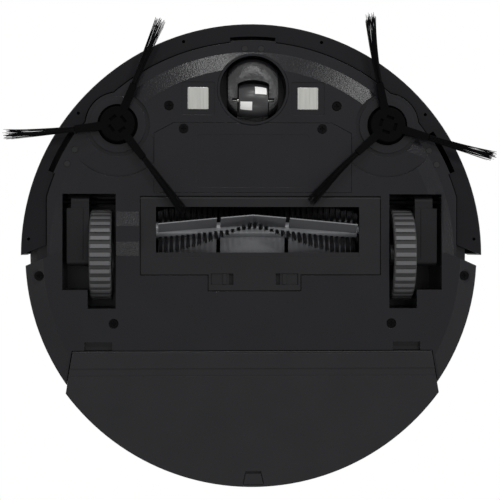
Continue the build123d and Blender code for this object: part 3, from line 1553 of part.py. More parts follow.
def lidar_tower():
    """Fixed roof on posts over the spinning head."""
    roof = post(tower_radius, (tower_top - tower_roof, tower_top))
    roof = fillet(roof.edges().filter_by(GeomType.CIRCLE).sort_by(Axis.Z)[-1], tower_edge_round)
    ring = (lidar_rim_top, lidar_rim_top + thin_wall)
    roof += post(lidar_radius, ring) - post(rotor_radius + 2 * seam, (0, 2 * deck_top))
    place = (rotor_radius + 2 * seam + tower_radius) / 2
    for n in range(tower_posts):
        turn = 2 * pi * (n + 0.5) / tower_posts
        foot = (place * cos(turn), place * sin(turn))
        roof += post(tower_post_radius, (ring[0], tower_top - seam), foot)
    return Pos(0, lidar_y) * roof


def main():
    os.makedirs("parts", exist_ok=True)
    for name, shape in (
        ("base_plate", base_plate()), ("top_cover", top_cover()), ("top_panel", top_panel()),
        ("battery_cover", battery_cover()), ("battery_pack", battery_pack()), ("screws", screws()),
        ("charging_contacts", charging_contacts()), ("circuit_board", circuit_board()),
        ("cliff_sensor_lenses", cliff_sensor_lenses()), ("bumper_switches", bumper_switches()),
        ("bumper_shell", bumper_shell()), ("bumper_window", bumper_window()),
        ("arm_pivot_pins", arm_pivot_pins()), ("suspension_springs", suspension_springs()),
        ("caster_socket", caster_socket()), ("caster_fork", caster_fork()),
        ("caster_axle", caster_axle()), ("caster_wheel", caster_wheel()),
        ("caster_wheel_patches", caster_wheel_patches()),
        ("side_brush_motors", side_brush_motors()), ("brush_core", brush_core()),
        ("brush_blades", brush_blades()), ("brush_bristles", brush_bristles()),
        ("brush_cover", brush_cover()), ("left_cover_latch", cover_latch(-1)),
        ("right_cover_latch", cover_latch(1)), ("brush_housing", brush_housing()),
        ("brush_gearbox", brush_gearbox()),
        ("brush_motor", brush_motor()), ("fan_housing", fan_housing()), ("fan_motor", fan_motor()),
        ("fan_impeller", fan_impeller()), ("dust_bin", dust_bin()), ("bin_button", bin_button()),
        ("bin_lid", bin_lid()), ("bin_filter", bin_filter()), ("mop_plate", mop_plate()),
        ("plate_catch", plate_catch()), ("power_button", round_button(-button_x)),
        ("home_button", round_button(button_x)), ("lidar_base", lidar_base()),
        ("lidar_rotor", lidar_rotor()), ("lidar_tower", lidar_tower()),
    ):
        save(name, shape)
    for name, shape in zip(("brush_drive_gear", "brush_idler_gear", "brush_motor_pinion"), brush_gears()):
        save(name, shape)
    module = (
        ("wheel_arm", wheel_arm()), ("wheel_motor", wheel_motor()), ("wheel_axle", wheel_axle()),
        ("wheel_hub", wheel_hub()), ("tyre", tyre()),
    )
    for name, shape in module:
        save(f"left_{name}", shape)
        save(f"right_{name}", mirror(shape, about=Plane.YZ))
    sides = zip(("left", "right"), side_hubs, (left_arm_angle, right_arm_angle))
    for side, hub, angle in sides:
        brush, tufts = side_brush_parts(hub, angle)
        save(f"{side}_side_brush", brush)
        save(f"{side}_side_bristles", tufts)


main()
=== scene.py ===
import json
from math import pi, radians

import bpy
from bpy.props import FloatProperty, FloatVectorProperty, IntProperty, PointerProperty
from bpy.types import Operator, Panel, PropertyGroup
from mathutils import Matrix, Vector


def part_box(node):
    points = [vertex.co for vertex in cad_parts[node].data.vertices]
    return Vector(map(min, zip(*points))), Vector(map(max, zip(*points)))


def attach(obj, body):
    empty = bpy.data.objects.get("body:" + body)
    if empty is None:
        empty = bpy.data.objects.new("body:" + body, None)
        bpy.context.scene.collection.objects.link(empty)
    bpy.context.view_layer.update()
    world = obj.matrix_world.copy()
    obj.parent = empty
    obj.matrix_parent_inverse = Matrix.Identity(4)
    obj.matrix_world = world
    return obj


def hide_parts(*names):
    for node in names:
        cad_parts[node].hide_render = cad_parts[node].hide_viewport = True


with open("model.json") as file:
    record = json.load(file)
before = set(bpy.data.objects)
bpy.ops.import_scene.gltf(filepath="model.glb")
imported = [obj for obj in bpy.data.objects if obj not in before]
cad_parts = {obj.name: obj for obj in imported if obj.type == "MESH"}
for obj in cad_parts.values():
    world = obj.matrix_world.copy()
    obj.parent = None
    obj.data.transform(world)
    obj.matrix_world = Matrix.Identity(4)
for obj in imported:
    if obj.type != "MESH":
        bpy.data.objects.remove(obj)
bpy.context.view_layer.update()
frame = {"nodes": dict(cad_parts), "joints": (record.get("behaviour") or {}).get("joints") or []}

bl_info = {
    "name": "Robot Vacuum Finish",
    "version": (1, 0, 0),
    "blender": (4, 5, 0),
    "location": "View3D > Sidebar > Robot Vacuum",
    "description": "Dresses the robot vacuum with finishes, brush fibres and a pale studio",
    "category": "Object",
}

JOINT_PLACES = {joint["name"]: Vector(joint["pos_m"]) for joint in frame["joints"] if "pos_m" in joint}
SIDES = ("left", "right")
MM_PER_METRE = 1000
METRES_PER_UM = 1e-6
# A noise texture keeps mostly between these two values
NOISE_LOW, NOISE_HIGH = 0.3, 0.7
EDGE_SAMPLES = 4
FIBRE_SIDES = 4
# Steps between the seeds of one tuft's random draws, so that they don't repeat each other
SECOND_DRAW, THIRD_DRAW = 100, 200
# Filled by the first operator: each slot of the record with the name of its material
FINISH_NAMES = {}


def linear(colour):
    """Turns an sRGB hex colour into the linear RGBA that sockets hold."""
    channels = [int(colour[n:n + 2], 16) / 255 for n in (1, 3, 5)]
    return tuple(c / 12.92 if c <= 0.04045 else ((c + 0.055) / 1.055) ** 2.4 for c in channels) + (1.0,)


def colour_property(label, description, colour):
    """A colour that the user can change, with its default written as sRGB hex."""
    return FloatVectorProperty(
        name=label, description=description, subtype="COLOR", size=4, min=0, max=1, default=linear(colour),
    )


class FinishColours(PropertyGroup):
    """Colours of the pieces that show most."""

    chassis: colour_property("Chassis", "Grained plastic of the underside", "#1c1c1f")
    bumper: colour_property("Bumper", "Grained plastic of the bumper", "#1b1b1d")
    plate: colour_property("Mop plate", "Smooth plastic of the mop plate", "#202022")
    deck: colour_property("Deck", "Satin plastic of the top", "#151517")
    # The ribs' colour; the tyre's grooves are darkened from it with painted shade
    tyre: colour_property("Tyres", "Rubbed ribs of the drive wheels", "#58585a")
    core: colour_property("Brush core", "Moulded core of the main brush", "#727477")
    blades: colour_property("Brush blades", "Soft blades of the main brush", "#646568")
    fibre: colour_property("Fibres", "Nylon fibres of the side brushes", "#060607")
    patches: colour_property("Caster patches", "Light patches on the caster wheel", "#f0f0ee")


class SideBrushSizes(PropertyGroup):
    """Sizes of the fibre tufts on the two side brushes."""

    fibres: IntProperty(name="Fibres", description="Fibres in one tuft", default=64, min=8, max=200)
    fibre_radius: FloatProperty(
        name="Fibre radius",
        description="Radius at a fibre's root, drawn twice as coarse as nylon so that it shows",
        default=0.00024, min=0.00005, max=0.001, unit="LENGTH", precision=5,
    )
    root_reach: FloatProperty(
        name="Root reach", description="Distance from the hub's axis to the ends of the rubber arms",
        default=0.0305, unit="LENGTH",
    )
    tuft_length: FloatProperty(
        name="Tuft length", description="Length of the longest fibre", default=0.0545, unit="LENGTH",
    )
    root_size: FloatVectorProperty(
        name="Root size", description="Width and depth of a tuft where it leaves the arm", size=2,
        default=(0.0036, 0.0016), unit="LENGTH",
    )
    tip_size: FloatVectorProperty(
        name="Tip size", description="Width and depth of a tuft at its tip", size=2,
        default=(0.0072, 0.0007), unit="LENGTH",
    )
    root_height: FloatProperty(
        name="Root height", description="Height of a tuft's root above the floor", default=0.0039,
        unit="LENGTH",
    )
    tip_height: FloatProperty(
        name="Tip height", description="Height of a tuft's tip above the floor", default=0.0010,
        unit="LENGTH",
    )
    stray: FloatProperty(
        name="Stray", description="How far fibre tips wander sideways", default=0.0011, unit="LENGTH",
    )
    arm_angles: FloatVectorProperty(
        name="Arm angles", description="Angle of the first arm of the left and the right brush", size=2,
        default=(radians(52.6), radians(17.7)), subtype="EULER", unit="ROTATION",
    )


class MainBrushSizes(PropertyGroup):
    """Sizes of the fibre tufts between the blades of the main brush."""

    tuft_pitch: FloatProperty(
        name="Tuft pitch", description="Distance between tufts along a row", default=0.0042, unit="LENGTH",
    )
    tuft_radius: FloatProperty(
        name="Tuft radius", description="Radius of a tuft at its root", default=0.00095, unit="LENGTH",
    )
    fibres: IntProperty(name="Fibres", description="Fibres in one tuft", default=44, min=4, max=80)
    fibre_radius: FloatProperty(
        name="Fibre radius", description="Radius of one fibre at its root", default=0.0002, unit="LENGTH",
        precision=5,
    )
    fibre_reach: FloatProperty(
        name="Fibre reach", description="Distance from the brush's axis to the fibre tips", default=0.0191,
        unit="LENGTH",
    )
    core_radius: FloatProperty(
        name="Core radius", description="Radius of the core that the tufts stand on", default=0.0058,
        unit="LENGTH",
    )
    first_angle: FloatProperty(
        name="First angle", description="Angle of the first row at the point of its V",
        default=radians(-106.0), subtype="ANGLE",
    )
    twist: FloatProperty(
        name="Twist", description="Turn of a row over each millimetre away from the point of its V",
        default=radians(1.28), subtype="ANGLE",
    )
    point_place: FloatProperty(
        name="Point place", description="Where the rows' V has its point, along X", default=0.0,
        unit="LENGTH",
    )


class StageSettings(PropertyGroup):
    """Camera, light from all around, and floor."""

    camera_place: FloatVectorProperty(
        name="Camera place",
        description="Where the camera stands, under the object and a little to the picture's left",
        size=3, default=(-0.060, -0.0035, -1.20), subtype="TRANSLATION", unit="LENGTH",
    )
    camera_target: FloatVectorProperty(
        name="Camera target", description="The point of the underside in the middle of the picture", size=3,
        default=(-0.0023, -0.0035, 0.010), subtype="TRANSLATION", unit="LENGTH",
    )
    lens: FloatProperty(name="Lens", description="Focal length in millimetres", default=115.5)
    floor: colour_property("Floor", "Pale floor", "#f4f4f2")
    ambient: FloatProperty(name="Ambient", description="Light from all around", default=0.25)


def add(tree, kind, inputs=None, **settings):
    """Adds a node to a tree, with its settings, and with values or other nodes' sockets as its inputs."""
    node = tree.nodes.new(kind)
    for key, value in settings.items():
        setattr(node, key, value)
    for key, value in (inputs or {}).items():
        if isinstance(value, bpy.types.NodeSocket):
            tree.links.new(value, node.inputs[key])
        else:
            node.inputs[key].default_value = value
    return node


def blank_material(name):
    """A material with an empty node tree."""
    material = bpy.data.materials.new(name)
    material.use_nodes = True
    material.node_tree.nodes.clear()
    return material


def tinted(colour, factor):
    """The same colour, lighter or darker."""
    return tuple(min(1.0, c * factor) for c in colour[:3]) + (1.0,)


def moulded(name, colour, grain_mm, grain_um, roughness, specular, coat=0.0, edge_mm=0.35):
    """Moulded surface: grain pressed in by the mould, gloss that drifts, and rounded edges painted paler as
    a highlight.
    """
    # Random drift darker and lighter, and the paler tint of the painted highlight along edges
    darker, lighter, edge_highlight_tint = 0.88, 1.12, 1.9
    glossier, duller = 0.92, 1.08
    # Cosine of the turn at which an edge takes its full painted highlight, and how far the highlight tint
    # then takes over
    highlight_cosine, highlight_share = 0.7, 0.5
    material = blank_material(name)
    tree = material.node_tree
    place = add(tree, "ShaderNodeTexCoord").outputs["Object"]
    grain = add(tree, "ShaderNodeTexNoise", {
        "Vector": place, "Scale": MM_PER_METRE / grain_mm, "Detail": 3.0,
    })
    drift_mm = 28.0
    drift = add(tree, "ShaderNodeTexNoise", {
        "Vector": place, "Scale": MM_PER_METRE / drift_mm, "Detail": 2.0,
    })
    edge = add(tree, "ShaderNodeBevel", {"Radius": edge_mm / MM_PER_METRE}, samples=EDGE_SAMPLES)
    bump = add(tree, "ShaderNodeBump", {
        "Strength": 1.0, "Distance": grain_um * METRES_PER_UM,
        "Height": grain.outputs["Fac"], "Normal": edge.outputs["Normal"],
    })
    flat = add(tree, "ShaderNodeNewGeometry")
    turn = add(tree, "ShaderNodeVectorMath", {
        0: edge.outputs["Normal"], 1: flat.outputs["Normal"],
    }, operation="DOT_PRODUCT")
    # Painted highlight: the colour turns paler wherever the rounded normal leaves the flat one, on every
    # edge
    edge_highlight = add(tree, "ShaderNodeMapRange", {
        "Value": turn.outputs["Value"], "From Min": 1.0, "From Max": highlight_cosine,
        "To Min": 0.0, "To Max": highlight_share,
    })
    shade = add(tree, "ShaderNodeMix", {
        0: drift.outputs["Fac"], 6: tinted(colour, darker), 7: tinted(colour, lighter),
    }, data_type="RGBA")
    # The drifting shade mixed towards the painted highlight tint along edges
    painted_light = add(tree, "ShaderNodeMix", {
        0: edge_highlight.outputs["Result"], 6: shade.outputs[2], 7: tinted(colour, edge_highlight_tint),
    }, data_type="RGBA")
    gloss = add(tree, "ShaderNodeMapRange", {
        "Value": drift.outputs["Fac"], "From Min": NOISE_LOW, "From Max": NOISE_HIGH,
        "To Min": roughness * glossier, "To Max": min(1.0, roughness * duller),
    })
    surface = add(tree, "ShaderNodeBsdfPrincipled", {
        "Base Color": painted_light.outputs[2], "Roughness": gloss.outputs["Result"],
        "Specular IOR Level": specular, "Coat Weight": coat, "Coat Roughness": 0.05,
        "Normal": bump.outputs["Normal"],
    })
    add(tree, "ShaderNodeOutputMaterial", {"Surface": surface.outputs["BSDF"]})
    return material


def tread_rubber(name, colour):
    """Vulcanised rubber: grooves dull and darkened with painted shade, ribs at the rubber's own colour and
    smoother.
    """
    # Share of the rubber's colour left on the grooves' floor by the painted shade
    painted_groove_shade = 0.3
    groove_roughness, rib_roughness = 0.75, 0.45
    material = blank_material(name)
    tree = material.node_tree
    place = add(tree, "ShaderNodeTexCoord").outputs["Object"]
    grain_mm = 0.8
    grain = add(tree, "ShaderNodeTexNoise", {
        "Vector": place, "Scale": MM_PER_METRE / grain_mm, "Detail": 2.0,
    })
    # Both wheels turn about the same line along X, so one axle serves the two tyres
    axle = JOINT_PLACES["left_wheel_spin"]
    from_axle = add(tree, "ShaderNodeVectorMath", {0: place, 1: axle}, operation="SUBTRACT").outputs[0]
    across = add(tree, "ShaderNodeVectorMath", {
        0: from_axle, 1: (0, 1, 1),
    }, operation="MULTIPLY").outputs[0]
    radius = add(tree, "ShaderNodeVectorMath", {0: across}, operation="LENGTH").outputs["Value"]
    # Painted shade: from the ribs' radius down to the grooves' floor the colour darkens, by distance from
    # the axle
    groove_radius = 0.0338
    rib_radius = 0.0347
    painted_light = add(tree, "ShaderNodeMapRange", {
        "Value": radius, "From Min": groove_radius, "From Max": rib_radius,
    }).outputs["Result"]
    shade = add(tree, "ShaderNodeMix", {
        0: painted_light, 6: tinted(colour, painted_groove_shade), 7: colour,
    }, data_type="RGBA")
    gloss = add(tree, "ShaderNodeMapRange", {
        "Value": painted_light, "To Min": groove_roughness, "To Max": rib_roughness,
    })
    edge_radius = 0.0005
    edge = add(tree, "ShaderNodeBevel", {"Radius": edge_radius}, samples=EDGE_SAMPLES)
    grain_depth = 45e-6
    bump = add(tree, "ShaderNodeBump", {
        "Strength": 1.0, "Distance": grain_depth,
        "Height": grain.outputs["Fac"], "Normal": edge.outputs["Normal"],
    })
    surface = add(tree, "ShaderNodeBsdfPrincipled", {
        "Base Color": shade.outputs[2], "Roughness": gloss.outputs["Result"], "Specular IOR Level": 0.35,
        "Normal": bump.outputs["Normal"],
    })
    add(tree, "ShaderNodeOutputMaterial", {"Surface": surface.outputs["BSDF"]})
    return material


def brushed_metal(name, colour, roughness, line_mm, along):
    """Plated or drawn metal: fine lines along one direction spread its gloss across them."""
    darker, lighter = 0.93, 1.05
    glossier, duller = 0.8, 1.25
    material = blank_material(name)
    tree = material.node_tree
    place = add(tree, "ShaderNodeTexCoord").outputs["Object"]
    line_length_mm = 30.0
    scale = [MM_PER_METRE / line_mm] * 3
    scale[along] = MM_PER_METRE / line_length_mm
    stretched = add(tree, "ShaderNodeMapping", {"Vector": place, "Scale": scale})
    lines = add(tree, "ShaderNodeTexNoise", {
        "Vector": stretched.outputs["Vector"], "Scale": 1.0, "Detail": 2.0,
    })
    edge_radius = 0.00025
    edge = add(tree, "ShaderNodeBevel", {"Radius": edge_radius}, samples=EDGE_SAMPLES)
    line_depth = 4e-6
    bump = add(tree, "ShaderNodeBump", {
        "Strength": 1.0, "Distance": line_depth, "Height": lines.outputs["Fac"],
        "Normal": edge.outputs["Normal"],
    })
    gloss = add(tree, "ShaderNodeMapRange", {
        "Value": lines.outputs["Fac"], "From Min": NOISE_LOW, "From Max": NOISE_HIGH,
        "To Min": roughness * glossier, "To Max": roughness * duller,
    })
    shade = add(tree, "ShaderNodeMix", {
        0: lines.outputs["Fac"], 6: tinted(colour, darker), 7: tinted(colour, lighter),
    }, data_type="RGBA")
    surface = add(tree, "ShaderNodeBsdfPrincipled", {
        "Base Color": shade.outputs[2], "Metallic": 1.0, "Roughness": gloss.outputs["Result"],
        "Normal": bump.outputs["Normal"],
    })
    add(tree, "ShaderNodeOutputMaterial", {"Surface": surface.outputs["BSDF"]})
    return material


def nylon_fibre(name, colour):
    """Drawn nylon: dark and almost without gloss, with a shade that changes from fibre to fibre."""
    darker, lighter = 0.5, 1.9
    material = blank_material(name)
    tree = material.node_tree
    place = add(tree, "ShaderNodeTexCoord").outputs["Object"]
    strand_mm = 1.5
    strands = add(tree, "ShaderNodeTexNoise", {
        "Vector": place, "Scale": MM_PER_METRE / strand_mm, "Detail": 1.0,
    })
    shade = add(tree, "ShaderNodeMix", {
        0: strands.outputs["Fac"], 6: tinted(colour, darker), 7: tinted(colour, lighter),
    }, data_type="RGBA")
    surface = add(tree, "ShaderNodeBsdfPrincipled", {
        "Base Color": shade.outputs[2], "Roughness": 0.5, "Specular IOR Level": 0.04,
    })
    add(tree, "ShaderNodeOutputMaterial", {"Surface": surface.outputs["BSDF"]})
    return material


def pressed_paper(name, colour):
    """Filter paper: matt, with short fibres pressed into its face."""
    darker, lighter = 0.8, 1.1
    material = blank_material(name)
    tree = material.node_tree
    place = add(tree, "ShaderNodeTexCoord").outputs["Object"]
    fibre_mm = 0.8
    fibres = add(tree, "ShaderNodeTexNoise", {
        "Vector": place, "Scale": MM_PER_METRE / fibre_mm, "Detail": 4.0, "Distortion": 2.0,
    })
    fibre_height = 6e-5
    bump = add(tree, "ShaderNodeBump", {
        "Strength": 0.8, "Distance": fibre_height, "Height": fibres.outputs["Fac"],
    })
    shade = add(tree, "ShaderNodeMix", {
        0: fibres.outputs["Fac"], 6: tinted(colour, darker), 7: tinted(colour, lighter),
    }, data_type="RGBA")
    surface = add(tree, "ShaderNodeBsdfPrincipled", {
        "Base Color": shade.outputs[2], "Roughness": 0.9, "Normal": bump.outputs["Normal"],
    })
    add(tree, "ShaderNodeOutputMaterial", {"Surface": surface.outputs["BSDF"]})
    return material


def solder_mask(name, colour, copper):
    """Circuit board laminate: glossy lacquer over copper tracks that show as paler lines."""
    darker = 0.8
    material = blank_material(name)
    tree = material.node_tree
    place = add(tree, "ShaderNodeTexCoord").outputs["Object"]
    track_mm = 5.0
    tracks = add(tree, "ShaderNodeTexBrick", {
        "Vector": place, "Scale": MM_PER_METRE / track_mm,
        "Color1": colour, "Color2": tinted(colour, darker),
        "Mortar": copper, "Mortar Size": 0.08, "Brick Width": 1.6, "Row Height": 0.5,
    }, offset=0.35, squash=0.6)
    track_height = 3e-5
    bump = add(tree, "ShaderNodeBump", {
        "Strength": 0.6, "Distance": track_height, "Height": tracks.outputs["Fac"],
    })
    surface = add(tree, "ShaderNodeBsdfPrincipled", {
        "Base Color": tracks.outputs["Color"], "Roughness": 0.25, "Normal": bump.outputs["Normal"],
    })
    add(tree, "ShaderNodeOutputMaterial", {"Surface": surface.outputs["BSDF"]})
    return material


def make_finishes(colours):
    """One material for each slot of the record, from what the real piece is made of.

    A moulded finish has its grain's width in millimetres and depth in micrometres, its roughness and its
    specular level. A metal has its roughness, its lines' width in millimetres and the axis they follow.
    """
    return {
        # ABS from a spark-eroded mould: low satin gloss, grain drawn as coarse as it needs to show
        "chassis_plastic": moulded("grained_abs_chassis", tuple(colours.chassis), 1.2, 110, 0.2, 0.145),
        # ABS with a finer mould grain on the impact bumper: duller than the chassis
        "bumper_plastic": moulded("grained_abs_bumper", tuple(colours.bumper), 1.0, 40, 0.45, 0.05),
        # ABS from a finely blasted mould: almost smooth, an even satin sheet
        "mop_plastic": moulded("satin_abs_plate", tuple(colours.plate), 0.7, 12, 0.42, 0.15),
        # The same satin ABS on the brush cover and its latches, a little darker
        "cover_plastic": moulded("satin_abs_cover", linear("#1a1a1c"), 0.7, 14, 0.44, 0.15),
        # ABS of the top, blasted finer still: soft highlights round its rim and the lidar tower
        "deck_plastic": moulded("satin_abs_deck", tuple(colours.deck), 0.6, 10, 0.34, 0.5),
        # Acrylic panel, polished mould: sharp reflections under a clear skin
        "panel_plastic": moulded("polished_acrylic_panel", linear("#0b0b0d"), 6.0, 6, 0.12, 0.5, coat=0.6),
        # ABS keys with a matt grain: they stand out as dull against their glossy surround
        "button_plastic": moulded("matt_abs_keys", linear("#2a2a2c"), 0.5, 14, 0.5, 0.4),
        # Polycarbonate that passes infrared: nearly black and clear-glossy
        "lens_plastic": moulded("infrared_polycarbonate", linear("#262627"), 8.0, 3, 0.2, 0.15),
        # Smoked polycarbonate from a polished mould: dark, with clear highlights
        "bin_plastic": moulded("smoked_polycarbonate_bin", linear("#26262a"), 5.0, 8, 0.2, 0.5, coat=0.2),
        # Polypropylene inner mouldings: waxy and dull
        "inner_plastic": moulded("polypropylene_inner", linear("#111112"), 1.4, 20, 0.5, 0.15),
        # Glass-filled nylon: dull, with a dry speckle
        "arm_plastic": moulded("glass_filled_nylon_arm", linear("#171719"), 0.9, 40, 0.45, 0.12),
        # The same nylon on the wheel hubs: paler, with a little more shine
        "hub_plastic": moulded("glass_filled_nylon_hub", linear("#2c2c2e"), 0.9, 40, 0.5, 0.35),
        # Vulcanised tyre rubber: ribs at the rubber's own colour between grooves darkened with painted
        # shade
        "tyre_rubber": tread_rubber("vulcanised_rubber_tyre", tuple(colours.tyre)),
        # Zinc-plated and drawn steel: bright, with fine lines along it
        "steel": brushed_metal("zinc_plated_steel", linear("#b4b4b0"), 0.3, 0.4, 0),
        # Nickel plate on brass springs: brushed along the contact
        "contact_metal": brushed_metal("nickel_plated_contact", linear("#9a9a96"), 0.35, 0.5, 1),
        # Deep-drawn steel cans of the motors: grey, with the drawing lines along them
        "motor_metal": brushed_metal("deep_drawn_motor_can", linear("#9c9c98"), 0.35, 0.5, 0),
        # Shrink sleeve: thin glossy film with soft wrinkles
        "battery_wrap": moulded("shrink_sleeve_battery", linear("#24466b"), 5.0, 60, 0.3, 0.5, edge_mm=1.5),
        # Lacquered laminate of the circuit board: green gloss over paler tracks
        "board_laminate": solder_mask("solder_mask_board", linear("#12462c"), linear("#3f7d4d")),
        # Acetal: milky, slightly waxy gears
        "gear_plastic": moulded("moulded_acetal_gears", linear("#dcd9cc"), 1.5, 10, 0.38, 0.5),
        # Pressed paper of the filter: matt, off-white and fibrous
        "filter_paper": pressed_paper("pleated_filter_paper", linear("#e6e3d6")),
        # Nylon fork with a coarse spark-eroded grain that glitters on its dome
        "caster_plastic": moulded("grained_nylon_fork", linear("#161618"), 1.6, 450, 0.24, 0.5),
        # Acetal wheel of the caster: dark and smooth, with a waxy shine
        "caster_wheel_plastic": moulded("moulded_acetal_wheel", linear("#242426"), 1.5, 12, 0.36, 0.4),
        # White ABS patches on that wheel: smooth and even, the brightest spots of the underside
        "patch_plastic": moulded("white_abs_patches", tuple(colours.patches), 1.0, 8, 0.4, 0.5),
        # Thermoplastic rubber: deep black and dull
        "side_brush_rubber": moulded("thermoplastic_rubber_arms", linear("#070708"), 0.8, 20, 0.6, 0.02),
        # Drawn nylon of the side brushes: black tufts with single fibres that catch a little light
        "side_fibre": nylon_fibre("drawn_nylon_side_fibres", tuple(colours.fibre)),
        # Polypropylene core of the main brush: mid grey with a soft shine
        "core_plastic": moulded("moulded_polypropylene_core", tuple(colours.core), 1.2, 10, 0.3, 0.4),
        # Thermoplastic rubber of the blades: grey and duller than the core
        "blade_rubber": moulded("thermoplastic_rubber_blades", tuple(colours.blades), 1.0, 14, 0.4, 0.4),
        # Drawn nylon of the main brush: dark tufts between the grey blades
        "brush_fibre": nylon_fibre("drawn_nylon_brush_fibres", linear("#1d1d1f")),
    }


def finish(slot):
    """The material made for a slot of the record."""
    return bpy.data.materials[FINISH_NAMES[slot]]


def new_tree(name, inputs):
    """An empty geometry tree with named inputs and one geometry output."""
    tree = bpy.data.node_groups.new(name, "GeometryNodeTree")
    for label, kind in inputs:
        tree.interface.new_socket(label, in_out="INPUT", socket_type=kind)
    tree.interface.new_socket("Geometry", in_out="OUTPUT", socket_type="NodeSocketGeometry")
    return tree


def grow(tree, values):
    """Evaluates a geometry tree with its inputs set, and gives the result as a plain mesh."""
    holder = bpy.data.objects.new(tree.name, bpy.data.meshes.new(tree.name))
    bpy.context.scene.collection.objects.link(holder)
    modifier = holder.modifiers.new(tree.name, "NODES")
    modifier.node_group = tree
    for socket in tree.interface.items_tree:
        if socket.in_out == "INPUT":
            modifier[socket.identifier] = values[socket.name]
    evaluated = holder.evaluated_get(bpy.context.evaluated_depsgraph_get())
    mesh = bpy.data.meshes.new_from_object(evaluated)
    bpy.data.objects.remove(holder)
    return mesh


def joined(name, meshes, material):
    """One object at the origin from several meshes that are already in place."""
    points = []
    faces = []
    for mesh in meshes:
        start = len(points)
        points += [vertex.co.copy() for vertex in mesh.vertices]
        faces += [[start + n for n in face.vertices] for face in mesh.polygons]
        bpy.data.meshes.remove(mesh)
    whole = bpy.data.meshes.new(name)
    whole.from_pydata(points, [], faces)
    whole.materials.append(material)
    whole.shade_smooth()
    piece = bpy.data.objects.new(name, whole)
    bpy.context.scene.collection.objects.link(piece)
    return piece


def seat(piece, body, slot, *nodes):
    """Puts a finished piece on its body, in place of the CAD nodes that it stands for."""
    if not piece.data.polygons:
        raise RuntimeError(f"{piece.name} came out empty")
    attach(piece, body)
    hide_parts(*nodes)


def side_tuft_tree():
    """A tuft that fans out along X: fibres spread, droop, bend and stray more towards their tips."""
    points_per_fibre = 14
    shortest = 0.88
    tip_taper = 0.55
    tree = new_tree("Side brush tuft", (
        ("Fibres", "NodeSocketInt"), ("Fibre Radius", "NodeSocketFloat"), ("Reach", "NodeSocketVector"),
        ("Root Half Size", "NodeSocketVector"), ("Tip Half Size", "NodeSocketVector"),
        ("Stray", "NodeSocketFloat"), ("Seed", "NodeSocketInt"), ("Material", "NodeSocketMaterial"),
    ))
    given = add(tree, "NodeGroupInput").outputs
    roots = add(tree, "GeometryNodePoints", {"Count": given["Fibres"]})
    unit = add(tree, "GeometryNodeCurvePrimitiveLine", {"End": (1.0, 0.0, 0.0)})
    divided = add(tree, "GeometryNodeResampleCurve", {
        "Curve": unit.outputs["Curve"], "Count": points_per_fibre,
    })
    copies = add(tree, "GeometryNodeInstanceOnPoints", {
        "Points": roots.outputs[0], "Instance": divided.outputs["Curve"],
    })
    fibres = add(tree, "GeometryNodeRealizeInstances", {"Geometry": copies.outputs["Instances"]})
    along = add(tree, "GeometryNodeSplineParameter").outputs["Factor"]
    squared = add(tree, "ShaderNodeMath", {0: along, 1: 2.0}, operation="POWER").outputs[0]
    cubed = add(tree, "ShaderNodeMath", {0: along, 1: 3.0}, operation="POWER").outputs[0]
    fibre = add(tree, "GeometryNodeCurveOfPoint").outputs["Curve Index"]
    place = add(tree, "FunctionNodeRandomValue", {
        "Min": (-1.0, -1.0, -1.0), "Max": (1.0, 1.0, 1.0), "ID": fibre, "Seed": given["Seed"],
    }, data_type="FLOAT_VECTOR").outputs["Value"]
    wander_seed = add(tree, "FunctionNodeIntegerMath", {
        0: given["Seed"], 1: SECOND_DRAW,
    }, operation="ADD")
    wander = add(tree, "FunctionNodeRandomValue", {
        "Min": (-0.5, -1.0, -0.2), "Max": (0.5, 1.0, 0.2), "ID": fibre, "Seed": wander_seed.outputs[0],
    }, data_type="FLOAT_VECTOR").outputs["Value"]
    length_seed = add(tree, "FunctionNodeIntegerMath", {
        0: given["Seed"], 1: THIRD_DRAW,
    }, operation="ADD")
    length = add(tree, "FunctionNodeRandomValue", {
        2: shortest, 3: 1.0, "ID": fibre, "Seed": length_seed.outputs[0],
    }, data_type="FLOAT").outputs[1]
    grown = add(tree, "ShaderNodeMath", {0: along, 1: length}, operation="MULTIPLY").outputs[0]
    course = add(tree, "ShaderNodeCombineXYZ", {"X": grown, "Y": squared, "Z": along}).outputs[0]
    spine = add(tree, "ShaderNodeVectorMath", {
        0: course, 1: given["Reach"],
    }, operation="MULTIPLY").outputs[0]
    half = add(tree, "ShaderNodeMix", {
        0: along, 4: given["Root Half Size"], 5: given["Tip Half Size"],
    }, data_type="VECTOR").outputs[1]
    fanned = add(tree, "ShaderNodeVectorMath", {
        0: half, 1: place, 2: spine,
    }, operation="MULTIPLY_ADD").outputs[0]
    loose = add(tree, "ShaderNodeMath", {0: cubed, 1: given["Stray"]}, operation="MULTIPLY").outputs[0]
    strayed = add(tree, "ShaderNodeVectorMath", {0: wander, "Scale": loose}, operation="SCALE").outputs[0]
    course_end = add(tree, "ShaderNodeVectorMath", {0: fanned, 1: strayed}, operation="ADD").outputs[0]
    bent = add(tree, "GeometryNodeSetPosition", {
        "Geometry": fibres.outputs["Geometry"], "Position": course_end,
    })
    taper = add(tree, "ShaderNodeMapRange", {
        "Value": along, "To Min": 1.0, "To Max": tip_taper,
    }).outputs["Result"]
    tapered = add(tree, "GeometryNodeSetCurveRadius", {"Curve": bent.outputs["Geometry"], "Radius": taper})
    section = add(tree, "GeometryNodeCurvePrimitiveCircle", {
        "Resolution": FIBRE_SIDES, "Radius": given["Fibre Radius"],
    })
    solid = add(tree, "GeometryNodeCurveToMesh", {
        "Curve": tapered.outputs["Curve"], "Profile Curve": section.outputs["Curve"], "Scale": taper,
        "Fill Caps": True,
    })
    real = add(tree, "GeometryNodeRealizeInstances", {"Geometry": solid.outputs["Mesh"]})
    finished = add(tree, "GeometryNodeSetMaterial", {
        "Geometry": real.outputs["Geometry"], "Material": given["Material"],
    })
    add(tree, "NodeGroupOutput", {"Geometry": finished.outputs["Geometry"]})
    return tree


